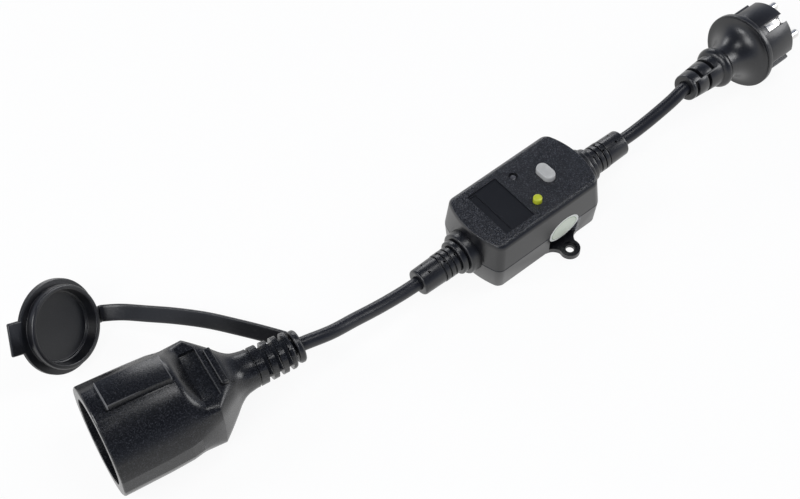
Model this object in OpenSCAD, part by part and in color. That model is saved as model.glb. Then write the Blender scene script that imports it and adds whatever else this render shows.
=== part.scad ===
// In-line residual-current adapter lead: plug, switch box and capped coupling.

/* [Box] */
// Length of the top face between its corners
box_l = 69.6; // [66:0.2:80]
// Width of the top face
box_w = 41.5; // [39:0.5:48]
// Height of the box
box_h = 33; // [32:1:40]
// Height of the parting line above the base
part_z = 15; // [14.5:0.5:17]
// Thickness of the shell walls
wall = 2; // [1.6:0.1:2.4]
// Outward bow of the short ends
end_bow = 3; // [2:0.5:5]
// Radius of the upright corners
corner_r = 5; // [4:0.5:8]
// Lean of the upper walls, out towards the parting line
draft = 1.2; // [0.6:0.2:2]
// Lean of the lower walls, in towards the base
base_draw = 1; // [0.6:0.2:2]
// Fillet along the long top edges
edge_r = 3; // [2:0.5:4]
// Fillet along the short top edges
end_edge_r = 0.8; // [0.4:0.2:2]
// Length of the recessed panel, along the box
panel_l = 18.6; // [14:0.2:20]
// Width of the recessed panel, across the box
panel_w = 29.6; // [20:0.2:31]
// Depth of the recessed panel
panel_depth = 0.4; // [0.2:0.1:0.7]
// Radius of the hole in the screw lug
lug_hole_r = 2.2; // [1.6:0.1:2.6]
// Radius of the lug round its hole
lug_r = 5.4; // [4.8:0.2:7]
// Thickness of the lug
lug_t = 3; // [2.4:0.2:4]

/* [Buttons] */
// Length of the reset button, across the box
reset_l = 11.5; // [9:0.5:12]
// Width of the reset button, along the box
reset_w = 7; // [5:0.5:8]
// Height of the reset button above the top
reset_proud = 2.8; // [2:0.2:3.4]
// Travel of the reset button
reset_travel = 2; // [1:0.2:2.4]
// Radius of the test button
test_r = 2.4; // [2:0.05:3]
// Height of the test button above the top
test_proud = 2.8; // [1.6:0.2:3.4]
// Travel of the test button
test_travel = 1.2; // [0.8:0.1:1.6]
// Radius of the indicator lens
lens_r = 1.8; // [1.5:0.1:2.2]
// Gap between a button and its hole
button_gap = 0.25; // [0.15:0.05:0.4]

/* [Glands and cords] */
// Diameter of both cords
cord_d = 7.2; // [6:0.2:8.4]
// Gap between a cord and the mouth that holds it
cord_gap = 0.15; // [0.1:0.05:0.3]
// Depth to which a cord sits in a mouth
mouth_depth = 4; // [3:0.5:6]
// Radius of the collar against the box
collar_r = 11.5; // [10:0.5:12.5]
// Radius of the second collar
collar2_r = 9.3; // [8:0.1:10]
// Radius of the ring zone
ring_r = 7.6; // [7:0.1:9]
// Radius of the smooth sleeve
sleeve_r = 7.2; // [6:0.1:8]
// Length of a gland outside its seat
gland_l = 33.4; // [28:0.2:38]

/* [Plug] */
// Radius of the sealing flange
flange_r = 21; // [19:0.5:23]
// Thickness of the flange's rim
flange_t = 3.4; // [2.4:0.2:4.4]
// Radius of the grooved front body
face_r = 18.2; // [17.4:0.1:18.6]
// Length of the grooved front body
face_l = 21.4; // [18:0.2:24]
// Radius of a pin
pin_r = 2.4; // [2.35:0.05:2.4]
// Free length of a pin
pin_l = 19; // [18.5:0.5:19.5]
// Distance between the pins
pin_gap = 19; // [18:0.5:20]
// Radius of the ball collar behind the bell
ball_r = 11.3; // [10.4:0.1:12.5]
// Length of the plug behind its flange
plug_tail = 50; // [46:0.5:54]

/* [Coupling] */
// Half width of the front
coup_w = 27.8; // [26.6:0.2:30]
// Half height of the front
coup_h = 27.4; // [26:0.2:30]
// Radius of the mouth
mouth_r = 21.6; // [21.4:0.1:22.6]
// Radius of the well for the plug
well_r = 19.6; // [19.5:0.1:20]
// Depth of the well
well_depth = 17.5; // [17:0.5:19]
// Depth of the mouth in front of the well
mouth_step = 7; // [6.5:0.5:9]
// Length of the coupling, sleeve included
coup_l = 100; // [96:1:108]

/* [Cap and strap] */
// Radius of the cap's flange
cap_r = 23.6; // [22.8:0.2:25]
// Radius of the cap's sealing lip
lip_r = 20.8; // [20:0.1:21.2]
// Height of the sealing lip
lip_h = 5.6; // [4:0.2:6.2]
// Thickness of the cap's flange
cap_t = 2.6; // [2.2:0.1:3]
// Width of the strap
strap_w = 8.5; // [7:0.5:10]
// Thickness of the strap
strap_t = 1.9; // [1.4:0.1:2.4]

/* [Hidden] */
$fn = 64;

black = [0.09, 0.09, 0.1];
dark = [0.13, 0.13, 0.14];
metal = [0.8, 0.8, 0.78];
copper = [0.72, 0.45, 0.25];

// A thin slice, small enough to leave a hull's size alone
slice = 0.01;
// Gap between solids of two moving bodies
clear = 0.3;
// Gap of a piece that is slid into its seat
seat_gap = 0.1;

// Box: places worked out from its sizes
part_l = box_l + 2 * draft;
part_w = box_w + 2 * draft;
seat_in = 2.3;
seat_x = part_l / 2 + end_bow - seat_in;
pad_t = 3.4;
pad_r = collar_r + 1.5;
neck_r = 6.5;
gland_z = part_z + 0.6;
inner_flange_t = 3;
inner_flange_r = 9;
gland_in_x = seat_x - pad_t - inner_flange_t;
boss_x = box_l / 2 - 6.5;
boss_y = box_w / 2 - 5.25;
boss_r = 3.8;
screw_r = 1.1;
screw_head_r = 2.7;
screw_head_t = 1.8;
screw_sink = 2.5;
screw_grip = 7;
post_h = 3;
board_z = wall + post_h;
board_t = 1.6;
board_top = board_z + board_t;
board_l = 2 * (boss_x - boss_r - 0.6);
board_w = 26;
seal_in = 0.6;
seal_w = 0.8;
seal_h = 1;
reset_at = [15.5, 0.5];
test_at = [0.8, -9.5];
lens_at = [1.8, 9.8];
panel_at = [-15.5, 0];
ledge_in = 0.6;
ledge_wide = 3.6;
ledge_long = panel_w - 2.4;
ledge_depth = panel_depth + 0.4;
lug_at = [9.8, -(part_w / 2 + 5.1)];
scallop_r = 11;
scallop_h = 9;

// Switch works: heights worked out from the board and the parting line
flange_gap = 0.2;
button_flange_t = 1.2;
button_flange_top = box_h - wall - flange_gap;
bar_z = part_z + 1.4;
bar_t = 3;
bar_size = [7, 18];
contact_r = 1.8;
contact_t = 1;
contact_y = 7;
contact_gap = 0.4;
fixed_top = bar_z - contact_t - reset_travel - contact_gap;
spring_r = 3;
spring_wall = 0.8;
switch_size = 5.6;
switch_h = 8;
switch_top = board_top + switch_h;
coil_r = 4.6;
coil_l = 12;
coil_x = -4;
coil_y = 6.5;
coil_z = bar_z + bar_t / 2;
plunger_r = 2.15;
plunger_gap = 0.08;
plunger_back = 3;
plunger_tip = reset_at[0] - bar_size[0] / 2 - 0.5;
yoke_t = 1;
core_x = 6.9 - board_l / 2;
core_l = 8;
core_bore = 4.6;
term_t = 3;
term_w = 10;
term_h = 12.4;
load_term_x = core_x + 8;
supply_term_x = 23;
wire_r = 1.25;
wire_ring = 1.9;
varistor_at = [8, -7];
varistor_r = 3.2;
varistor_t = 3;
capacitor_at = [-1.5, -2];
capacitor_r = 2.2;
capacitor_h = 10;

// Gland: stations along its length, from the seat outwards
collar_l = 6.6;
collar2_at = 7.1;
collar2_l = 3.1;
rings_at = 10.3;
ring_count = 3;
ring_pitch = 3.2;
ring_deep = 0.85;
ring_gap = 0.6;
sleeve_at = rings_at + ring_count * ring_pitch;
vent = 1.1;
vent_at = [rings_at + 0.2, sleeve_at - 2.4, gland_l - 6.4];
vent_turn = [-35, 17, 163, 215];

// Places of the plug, the coupling and the cap as they lie on the table
plug_pos = [163.3, 1, 21.3];
plug_turn = [24, 8, 4];
coup_pos = [-244.7, 21, coup_h + 0.4];
coup_yaw = -10;
cap_pos = [-222.1, 89.7, 21.6];
cap_tilt = 58.9;
cap_yaw = 23.5;
cap_spin = -35.4;

// Plug: stations along its axis, with its flange's front at zero
bell_x = -18;
bell_r = 9.6;
ball_x = -24;
ball_w = 3.4;
tail_root_r = 8.7;
tail_end_r = 7.3;
face_seat_r = 13.5;
face_seat_l = 5;
groove_floor = 16.3;
groove_w = 17;
groove_from = 1;
face_rib_w = 4.4;
notch_w = 4.8;
notch_floor = 15.2;
notch_from = 6;
notch_front = 19.8;
notch_front_w = 4;
notch_front_floor = 12.6;
strip_t = 0.8;
strip_l = 12.4;
tail_slots = [-plug_tail + 1.8, -plug_tail + 11.1];
tail_slot_t = 2.3;
tail_slot_w = 11;
tail_slot_r = 5.2;
tail_slot_turn = 53.5;
tail_slot_lag = 4.6;

// Coupling: stations along its axis, with its front at zero
ridge_x = 42;
carrier_end = 45;
carrier_step = 40;
carrier_tail_r = 16;
carrier_x = mouth_step;
floor_x = mouth_step + well_depth;
floor_t = 2;
grip_z = 16.5;
grip_from = 48.6;
grip_end = 53.8;
finger_x = 48.8;
finger_l = 8.2;
finger_w = 28.2;
finger_deep = 2.3;
rib_x = 60;
rib_l = 3.6;
rib_w = 21.2;
rib_proud = 1;
plate_size = [32.1, 16];
plate_from = 7.5;
plate_roll = -9;
plate_fall = 2.4;
plate_proud = 1.7;
plate_deep = 4.4;
collar_slots = [coup_l - 15.9, coup_l - 10.5, coup_l - 5.2];
collar_slot_t = 2.5;
collar_slot_w = 11.6;
collar_slot_r = 6.5;
collar_slot_turn = 37;
entry_r = 2.9;
sleeve_out = 3.4;
sleeve_in = pin_r + 0.05;
clip_w = 4.4;
clip_t = 0.8;
clip_z = 18.4;
clip_from = 3;
clip_hold = 10;
guide_w = 4.4;
guide_in = 17.3;
eyelet_x = coup_l + 3;
eyelet_t = 3.4;
eyelet_r = 8.3;
eyelet_turn = -45;
eyelet_stub = 9.5;

// Cap: stations along its axis, with the flange's inner face at zero
lip_wall = 2.4;
cup_floor = -cap_t / 2;
strap_deep = 1.1;
tab_l = 6;
tab_w = 16.5;
stub_l = 1.8;
root_x = cap_r + stub_l;

// Routes that lie free, points chosen by hand between their ends
load_mid = [[-125, 0, 25.6], [-111, 0, 22.4], [-97, 0, 19], [-83, 0, 16.6]];
supply_mid = [[80, -0.6, 16.8], [92, -1.8, 20.8], [104, -2.8, 25.6]];
strap_mid = [
    [-190.5, 86, 7.6], [-182, 76, 9.4], [-172.5, 64, 12], [-163, 50.5, 14.6], [-154.5, 36, 17],
    [-147, 23, 18.6], [-141.5, 13, 19.4]
];

// Turns about one axis, in degrees
function turn_x(v, a) = [v[0], v[1] * cos(a) - v[2] * sin(a), v[1] * sin(a) + v[2] * cos(a)];
function turn_y(v, a) = [v[0] * cos(a) + v[2] * sin(a), v[1], -v[0] * sin(a) + v[2] * cos(a)];
function turn_z(v, a) = [v[0] * cos(a) - v[1] * sin(a), v[0] * sin(a) + v[1] * cos(a), v[2]];
function unit(v) = v / norm(v);
function arc(c, r, a0, a1, n) =
    [for (i = [0 : n]) let (a = a0 + (a1 - a0) * i / n) [c[0] + r * cos(a), c[1] + r * sin(a)]];

// Points given in a piece's own frame, in the frame of the whole
function plug_dir(v) = turn_z(turn_y(turn_x(v, plug_turn[0]), plug_turn[1]), plug_turn[2]);
function plug_point(v) = plug_pos + plug_dir(v);
function coup_dir(v) = turn_z(v, coup_yaw);
function coup_point(v) = coup_pos + coup_dir(v);
function cap_dir(v) = turn_z(turn_x(turn_z(v, cap_spin), cap_tilt), cap_yaw);
function cap_point(v) = cap_pos + cap_dir(v);

module at_plug() translate(plug_pos) rotate(plug_turn) children();
module at_coupling() translate(coup_pos) rotate([0, 0, coup_yaw]) children();
module at_cap() translate(cap_pos) rotate([cap_tilt, 0, cap_yaw]) rotate([0, 0, cap_spin]) children();
module along_x() rotate([0, 90, 0]) children();
module at_gland(side) mirror([side < 0 ? 1 : 0, 0, 0]) translate([seat_x, 0, gland_z]) along_x() children();
module four(x, y) for (sx = [-1, 1], sy = [-1, 1]) translate([sx * x, sy * y, 0]) children();

// Outline of the box: round corners that run tangent into bowed ends
function plan_half(l, w, r) =
    let (half = w / 2 - r, c = (end_bow ^ 2 + half ^ 2) / (2 * end_bow), phi = asin(half / c))
    concat(
        arc([l / 2 - r, -half], r, -90, -phi, 6),
        arc([l / 2 + end_bow - r - c, 0], c + r, -phi, phi, 12),
        arc([l / 2 - r, half], r, phi, 90, 6)
    );
module plan(l, w, r) {
    right = plan_half(l, w, r);
    polygon(concat(right, [for (p = right) -p]));
}

// Convex skin through outlines, each given as height, length, width and corner radius
module skin(levels)
    hull() for (v = levels) translate([0, 0, v[0]]) linear_extrude(slice) plan(v[1], v[2], v[3]);

module upper_skin() skin(concat(
    [[part_z, part_l, part_w, corner_r]],
    [for (a = [0 : 22.5 : 90]) [
        box_h - edge_r + (edge_r - slice) * sin(a), box_l - 2 * end_edge_r * (1 - cos(a)),
        box_w - 2 * edge_r * (1 - cos(a)), corner_r - 1.5 * (1 - cos(a))
    ]]
));
module upper_cavity() skin([
    [part_z - 1, part_l - 2 * wall, part_w - 2 * wall, corner_r - wall],
    [box_h - wall - 1, box_l - 2 * wall, box_w - 2 * wall, corner_r - wall],
    [box_h - wall - slice, box_l - 2 * wall - 1, box_w - 2 * wall - 2, corner_r - wall]
]);
module lower_skin() skin([
    [part_z - slice, part_l, part_w, corner_r],
    [1, part_l - 2 * base_draw, part_w - 2 * base_draw, corner_r - 0.4],
    [0, part_l - 2 * base_draw - 1, part_w - 2 * base_draw - 1, corner_r - 1]
]);
module lower_cavity() skin([
    [part_z + 1, part_l - 2 * wall, part_w - 2 * wall, corner_r - wall],
    [wall, part_l - 2 * (wall + base_draw), part_w - 2 * (wall + base_draw), corner_r - wall]
]);

// Discs inside the end walls that carry the glands, and the cuts that seat them
module gland_pads() for (s = [-1, 1]) at_gland(s) translate([0, 0, -pad_t]) cylinder(r = pad_r, h = pad_t);
module gland_cuts() for (s = [-1, 1]) at_gland(s) {
    translate([0, 0, -pad_t - 1]) cylinder(r = neck_r, h = pad_t + 2);
    cylinder(r = collar_r, h = 2 * seat_in);
}

// Long round outline across the box
module stadium(l, w) {
    square([w, l - w], center = true);
    for (s = [-1, 1]) translate([0, s * (l - w) / 2]) circle(d = w);
}

module upper_shell() color(dark) difference() {
    union() {
        difference() {
            upper_skin();
            upper_cavity();
        }
        intersection() {
            upper_skin();
            union() {
                gland_pads();
                four(boss_x, boss_y) translate([0, 0, part_z])
                    cylinder(r = boss_r, h = box_h - part_z - wall / 2);
            }
        }
    }
    gland_cuts();
    four(boss_x, boss_y) translate([0, 0, part_z - 1]) cylinder(r = screw_r + 0.05, h = screw_grip + 2);
    translate([reset_at[0], reset_at[1], box_h / 2]) linear_extrude(box_h)
        stadium(reset_l + 2 * button_gap, reset_w + 2 * button_gap);
    translate([test_at[0], test_at[1], box_h / 2]) cylinder(r = test_r + button_gap, h = box_h);
    translate([lens_at[0], lens_at[1], box_h / 2]) cylinder(r = lens_r + 0.05, h = box_h);
    translate([lens_at[0], lens_at[1], box_h - 0.8]) cylinder(r = lens_r + 0.6, h = 2);
    translate([panel_at[0], panel_at[1], box_h - panel_depth])
        linear_extrude(2) square([panel_l, panel_w], center = true);
    translate([panel_at[0] - panel_l / 2 + ledge_in, -ledge_long / 2, box_h - ledge_depth])
        cube([ledge_wide, ledge_long, 2]);
}

// Lug plate: a round eye that flares into the wall by two concave fillets
module lug_outline() {
    flare = 4.5;
    difference() {
        union() {
            translate(lug_at) circle(r = lug_r);
            translate([lug_at[0] - lug_r - flare, lug_at[1]]) square([2 * (lug_r + flare), 7]);
        }
        for (s = [-1, 1]) translate([lug_at[0] + s * (lug_r + flare), lug_at[1]]) circle(r = flare);
    }
}

module lower_shell() color(dark) difference() {
    union() {
        difference() {
            lower_skin();
            lower_cavity();
        }
        intersection() {
            lower_skin();
            union() {
                gland_pads();
                four(boss_x, boss_y) cylinder(r = boss_r, h = part_z);
                four(board_l / 2 - 4, board_w / 2 - 3) cylinder(r = 2, h = board_z);
                translate([lug_at[0], lug_at[1], 0])
                    cylinder(r = scallop_r + wall, h = lug_t + scallop_h + wall);
            }
        }
        linear_extrude(lug_t) lug_outline();
    }
    gland_cuts();
    translate([lug_at[0], lug_at[1], lug_t]) cylinder(r = scallop_r, h = scallop_h);
    translate([lug_at[0], lug_at[1], -1]) cylinder(r = lug_hole_r, h = lug_t + 2);
    translate([lug_at[0], lug_at[1], lug_t - 0.8]) cylinder(r = lug_hole_r + 1.6, h = 2);
    four(boss_x, boss_y) {
        translate([0, 0, -1]) cylinder(r = screw_r + 0.4, h = part_z + 2);
        translate([0, 0, -1]) cylinder(r = screw_head_r + 0.3, h = screw_sink + 1);
    }
    translate([0, 0, part_z - seal_h]) linear_extrude(seal_h + 1) seal_outline();
}

// Ring in the middle of the wall, open where the gland collars cross it
module seal_outline() difference() {
    plan(part_l - 2 * seal_in, part_w - 2 * seal_in, corner_r - seal_in);
    plan(part_l - 2 * (seal_in + seal_w), part_w - 2 * (seal_in + seal_w), corner_r - seal_in - seal_w);
    square([2 * box_l, 2 * (collar_r + 0.5)], center = true);
}

module shell_seal() color([0.3, 0.3, 0.32]) translate([0, 0, part_z - seal_h])
    linear_extrude(seal_h) seal_outline();

module shell_screws() color(metal) four(boss_x, boss_y) {
    translate([0, 0, screw_sink - screw_head_t]) cylinder(r = screw_head_r, h = screw_head_t);
    translate([0, 0, screw_sink - 0.1]) cylinder(r = screw_r, h = part_z + screw_grip - screw_sink);
}

module reset_button() color([0.82, 0.82, 0.8]) translate([reset_at[0], reset_at[1], 0]) {
    crown = 0.9;
    hull() for (a = [0 : 30 : 90])
        translate([0, 0, button_flange_top - 0.1])
            linear_extrude(box_h + reset_proud - button_flange_top + 0.1 - crown + crown * sin(a))
                stadium(reset_l - 2 * crown * (1 - cos(a)), reset_w - 2 * crown * (1 - cos(a)), $fn = 32);
    translate([0, 0, button_flange_top - button_flange_t]) linear_extrude(button_flange_t)
        stadium(reset_l + 2, reset_w + 2);
    translate([0, 0, bar_z + bar_t]) cylinder(r = 1.8, h = button_flange_top - bar_z - bar_t - 0.5);
}

module contact_bar() color([0.75, 0.72, 0.6]) translate([reset_at[0], reset_at[1], bar_z + bar_t / 2])
    cube([bar_size[0], bar_size[1], bar_t], center = true);

module contact_pair(z, h) for (s = [-1, 1])
    translate([reset_at[0], reset_at[1] + s * contact_y, z]) cylinder(r = contact_r, h = h);

module moving_contacts() color(metal) contact_pair(bar_z - contact_t, contact_t);

module fixed_contacts() color(copper) {
    contact_pair(fixed_top - contact_t - 0.1, contact_t + 0.1);
    for (s = [-1, 1]) translate([reset_at[0] - 2, reset_at[1] + s * contact_y - 2, board_top])
        cube([4, 4, fixed_top - contact_t - board_top]);
}

module coil_tube(r, t, h) difference() {
    cylinder(r = r, h = h);
    translate([0, 0, -1]) cylinder(r = r - t, h = h + 2);
}

module reset_spring() color(metal) translate([reset_at[0], reset_at[1], board_top])
    coil_tube(spring_r, spring_wall, bar_z - board_top - seat_gap);

module test_button() color([0.85, 0.85, 0.05]) translate([test_at[0], test_at[1], 0])
    rotate_extrude() polygon(concat(
        [[0, switch_top + test_travel + contact_gap], [1.2, switch_top + test_travel + contact_gap]],
        [[1.2, button_flange_top - button_flange_t], [test_r + 1, button_flange_top - button_flange_t]],
        [[test_r + 1, button_flange_top], [test_r, button_flange_top]],
        arc([test_r - 0.5, box_h + test_proud - 0.5], 0.5, 0, 90, 4),
        [[0, box_h + test_proud]]
    ));

module test_switch() color(dark) translate([test_at[0], test_at[1], board_top + switch_h / 2])
    cube([switch_size, switch_size, switch_h], center = true);

module test_spring() color(metal) translate([test_at[0], test_at[1], switch_top])
    coil_tube(2.4, 0.7, button_flange_top - button_flange_t - switch_top - seat_gap);

module indicator_lens() color([0.25, 0.27, 0.3]) translate([lens_at[0], lens_at[1], 0])
    rotate_extrude() polygon(concat(
        [[0, box_h - wall - 4], [lens_r, box_h - wall - 4], [lens_r, box_h - wall - 1]],
        [[lens_r + 0.8, box_h - wall - 1], [lens_r + 0.8, box_h - wall], [lens_r, box_h - wall]],
        [[lens_r, box_h - 1.1], [lens_r - 0.3, box_h - 0.7], [0, box_h - 0.5]]
    ));

module circuit_board() color([0.1, 0.35, 0.2]) {
    translate([-board_l / 2, -board_w / 2, board_z]) cube([board_l, board_w, board_t]);
    translate([0, -term_w / 2 - 1, board_z]) cube([supply_term_x + term_t + 1, term_w + 2, board_t]);
}

module current_transformer() color([0.8, 0.75, 0.2]) translate([core_x - core_l / 2, 0, gland_z])
    along_x() difference() {
        cylinder(r = gland_z - board_top - 0.05, h = core_l);
        translate([0, 0, -1]) cylinder(r = core_bore, h = core_l + 2);
    }

module trip_coil() color(copper) translate([coil_x, coil_y, coil_z]) along_x()
    coil_tube(coil_r, coil_r - plunger_r - plunger_gap, coil_l);

module coil_yoke() color(metal) {
    base = [coil_l + 2 * yoke_t, 2 * coil_r, yoke_t];
    difference() {
        for (x = [coil_x - yoke_t, coil_x + coil_l]) translate([x, coil_y - coil_r, board_top])
            cube([yoke_t, 2 * coil_r, coil_z + coil_r - board_top]);
        translate([coil_x - 2 * yoke_t, coil_y, coil_z]) along_x()
            cylinder(r = plunger_r + plunger_gap, h = coil_l + 4 * yoke_t);
    }
    translate([coil_x - yoke_t, coil_y - coil_r, board_top]) cube(base);
}

module trip_plunger() color(metal) translate([coil_x + plunger_back, coil_y, coil_z]) along_x()
    cylinder(r = plunger_r, h = plunger_tip - coil_x - plunger_back);

module terminal_block(x) color([0.2, 0.45, 0.3]) translate([x, -term_w / 2, board_top])
    cube([term_t, term_w, term_h]);
module supply_terminals() terminal_block(supply_term_x);
module load_terminals() terminal_block(load_term_x);

// Three conductors side by side round the cord's axis, between two stations
module cores(x0, x1) for (k = [0 : 2]) color([[0.45, 0.25, 0.12], [0.2, 0.35, 0.7], [0.5, 0.65, 0.15]][k])
    translate([x0, wire_ring * cos(120 * k), gland_z + wire_ring * sin(120 * k)]) along_x()
        cylinder(r = wire_r, h = x1 - x0);
module supply_cores() cores(supply_term_x + term_t, gland_in_x);
module load_cores() cores(-gland_in_x, load_term_x);

module surge_varistor() color([0.15, 0.3, 0.6])
    translate([varistor_at[0], varistor_at[1], board_top + varistor_r])
        along_x() cylinder(r = varistor_r, h = varistor_t);

module filter_capacitor() color([0.2, 0.2, 0.25]) translate([capacitor_at[0], capacitor_at[1], board_top])
    cylinder(r = capacitor_r, h = capacitor_h);

// Strain-relief moulding of the box: collars, ring zone and smooth sleeve
module gland(side) color(black) at_gland(side) difference() {
    rotate_extrude() polygon(concat(
            [[0, -pad_t - inner_flange_t], [inner_flange_r, -pad_t - inner_flange_t], [inner_flange_r, -pad_t]],
            [[neck_r, -pad_t], [neck_r, 0], [collar_r, 0]],
            arc([collar_r - 1.4, collar_l - 1.4], 1.4, 0, 90, 4),
            [[collar2_r - 0.9, collar_l], [collar2_r - 0.9, collar2_at], [collar2_r, collar2_at]],
            arc([collar2_r - 1, collar2_at + collar2_l - 1], 1, 0, 90, 4),
            [for (i = [0 : ring_count - 1]) each [
                [ring_r - ring_deep, rings_at + i * ring_pitch],
                [ring_r - ring_deep, rings_at + i * ring_pitch + ring_gap],
                [ring_r, rings_at + i * ring_pitch + ring_gap + 0.2],
                [ring_r, rings_at + (i + 1) * ring_pitch]
            ]],
            [[ring_r - ring_deep, sleeve_at], [ring_r - ring_deep, sleeve_at + ring_gap]],
            [[sleeve_r, sleeve_at + ring_gap + 0.2]],
            arc([sleeve_r - 1.6, gland_l - 1.6], 1.6, 0, 90, 5),
            [[0, gland_l]]
        ));
        translate([0, 0, gland_l - mouth_depth]) cylinder(d = cord_d + 2 * cord_gap, h = mouth_depth + 1);
        for (a = vent_turn, z = vent_at) rotate(side * a)
            translate([sleeve_r - vent, -vent / 2, z]) cube([3, vent, vent]);
    }
module supply_gland() gland(1);
module load_gland() gland(-1);

// Skin through rings of points, each ring counted round to the left as its route goes on
module loft(rings) {
    n = len(rings[0]);
    m = len(rings);
    sides = [for (i = [0 : m - 2], j = [0 : n - 1]) let (k = (j + 1) % n) each [
        [i * n + j, (i + 1) * n + k, i * n + k], [i * n + j, (i + 1) * n + j, (i + 1) * n + k]
    ]];
    ends = [[for (j = [0 : n - 1]) j], [for (j = [n - 1 : -1 : 0]) (m - 1) * n + j]];
    polyhedron([for (r = rings) each r], concat(sides, ends));
}

// Direction of a route at one of its points
function heading(p, i) = unit(p[min(i + 1, len(p) - 1)] - p[max(i - 1, 0)]);

// Ring of a round cord, square to its heading
function cord_ring(c, d, r, n) =
    let (side = unit(cross([0, 0, 1], d)), up = cross(d, side))
    [for (j = [0 : n - 1]) c + r * (cos(360 * j / n) * side + sin(360 * j / n) * up)];
module cord(route) color(black)
    loft([for (i = [0 : len(route) - 1]) cord_ring(route[i], heading(route, i), cord_d / 2, 12)]);

load_route = concat(
    [coup_point([coup_l - mouth_depth, 0, 0]), coup_point([coup_l + 6, 0, 0])], load_mid,
    [[-seat_x - gland_l - 1, 0, gland_z], [-seat_x - gland_l + mouth_depth, 0, gland_z]]
);
supply_route = concat(
    [[seat_x + gland_l - mouth_depth, 0, gland_z], [seat_x + gland_l + 1, 0, gland_z]], supply_mid,
    [plug_point([-plug_tail - 1, 0, 0]), plug_point([-plug_tail + mouth_depth, 0, 0])]
);
module load_cord() cord(load_route);
module supply_cord() cord(supply_route);

// Slots across the four sides of a sleeve, every second side set on by a lag
module sleeve_slots(stations, thick, wide, r, turned, lag) for (q = [0 : 3], x = stations)
    rotate([turned + 90 * q, 0, 0]) translate([x + lag * (q % 2), -wide / 2, r]) cube([thick, wide, 7]);

module plug_body() color(black) at_plug() difference() {
    along_x() rotate_extrude() polygon(concat(
        [[0, -plug_tail], [tail_end_r - 0.8, -plug_tail], [tail_end_r, -plug_tail + 0.8]],
        [[tail_root_r, ball_x - ball_w]],
        arc([ball_r - ball_w, ball_x], ball_w, -90, 90, 8),
        [for (t = [0 : 10 : 90]) [
            bell_r + (flange_r - 0.8 - bell_r) * (1 - cos(t)), bell_x + (-flange_t - 0.8 - bell_x) * sin(t)
        ]],
        [[flange_r, -flange_t], [flange_r, -0.6], [flange_r - 0.5, 0], [0, 0]]
    ));
    along_x() translate([0, 0, -face_seat_l]) cylinder(r = face_seat_r, h = face_seat_l + 1);
    along_x() translate([0, 0, -plug_tail - 1]) cylinder(d = cord_d + 2 * cord_gap, h = mouth_depth + 1);
    sleeve_slots(tail_slots, tail_slot_t, tail_slot_w, tail_slot_r, tail_slot_turn, tail_slot_lag);
}

module pin_pair(x, r, h) for (s = [-1, 1]) translate([x, s * pin_gap / 2, 0]) along_x() cylinder(r = r, h = h);

module plug_face() color(black) at_plug() difference() {
    union() {
        along_x() translate([0, 0, -face_seat_l]) cylinder(r = face_seat_r - seat_gap, h = face_seat_l + 1);
        along_x() rotate_extrude() polygon([
            [0, 0], [face_r, 0], [face_r, face_l - 0.8], [face_r - 0.8, face_l], [0, face_l]
        ]);
    }
    for (s = [-1, 1]) {
        for (t = [-1, 1])
            translate([groove_from, s > 0 ? groove_floor : -groove_floor - 4, 0])
                translate([0, 0, t > 0 ? face_rib_w / 2 : -groove_w / 2])
                    cube([face_l, 4, (groove_w - face_rib_w) / 2]);
        translate([notch_from, -notch_w / 2, s > 0 ? notch_floor : -notch_floor - 4])
            cube([face_l, notch_w, 4]);
        translate([notch_front, -notch_front_w / 2, s > 0 ? notch_front_floor : -notch_front_floor - 6])
            cube([face_l, notch_front_w, 6]);
    }
    pin_pair(-face_seat_l - 1, pin_r - 0.2 + 0.05, face_l + face_seat_l + 2);
}

module plug_pins() color(metal) at_plug() {
    pin_pair(-face_seat_l + 0.5, pin_r - 0.2, face_l + face_seat_l);
    for (s = [-1, 1]) translate([face_l, s * pin_gap / 2, 0]) along_x() rotate_extrude() polygon(concat(
        [[0, 0], [pin_r, 0]], arc([pin_r - 1.6, pin_l - 1.6], 1.6, 0, 90, 6), [[0, pin_l]]
    ));
}

module plug_earth_strips() color(metal) at_plug() for (s = [0, 1]) mirror([0, 0, s]) {
    translate([notch_from + 0.2, -notch_w / 2 + 0.2, notch_floor]) cube([strip_l, notch_w - 0.4, strip_t]);
    translate([notch_from + strip_l + 0.2 - strip_t, -notch_w / 2 + 0.2, notch_floor])
        cube([strip_t, notch_w - 0.4, 1.9]);
}

// Section of the coupling's front: a round dome above and below upright flats
function dome_ring(x, w, h, f, n) =
    let (r = (w ^ 2 + (h - f) ^ 2) / (2 * (h - f)), z = h - r, a = atan2(f - z, w))
    let (top = arc([0, z], r, a, 180 - a, n))
    concat([for (p = top) [x, p[0], p[1]]], [for (p = top) [x, -p[0], -p[1]]]);
// Section of its rear: squarer towards the grip, round towards the cord
function block_ring(x, w, h, f, e, n) =
    let (top = [for (i = [0 : n]) let (c = cos(180 * i / n), s = sin(180 * i / n))
        [w * sign(c) * abs(c) ^ (2 / e), f + (h - f) * abs(s) ^ (2 / e)]])
    concat([for (p = top) [x, p[0], p[1]]], [for (p = top) [x, -p[0], -p[1]]]);

// A ring partly on its way to another, and a ring cut level above and below
function between(a, b, share) = [for (i = [0 : len(a) - 1]) a[i] + (b[i] - a[i]) * share];
function level(ring, z) = [for (p = ring) [p[0], p[1], max(-z, min(z, p[2]))]];

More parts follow.
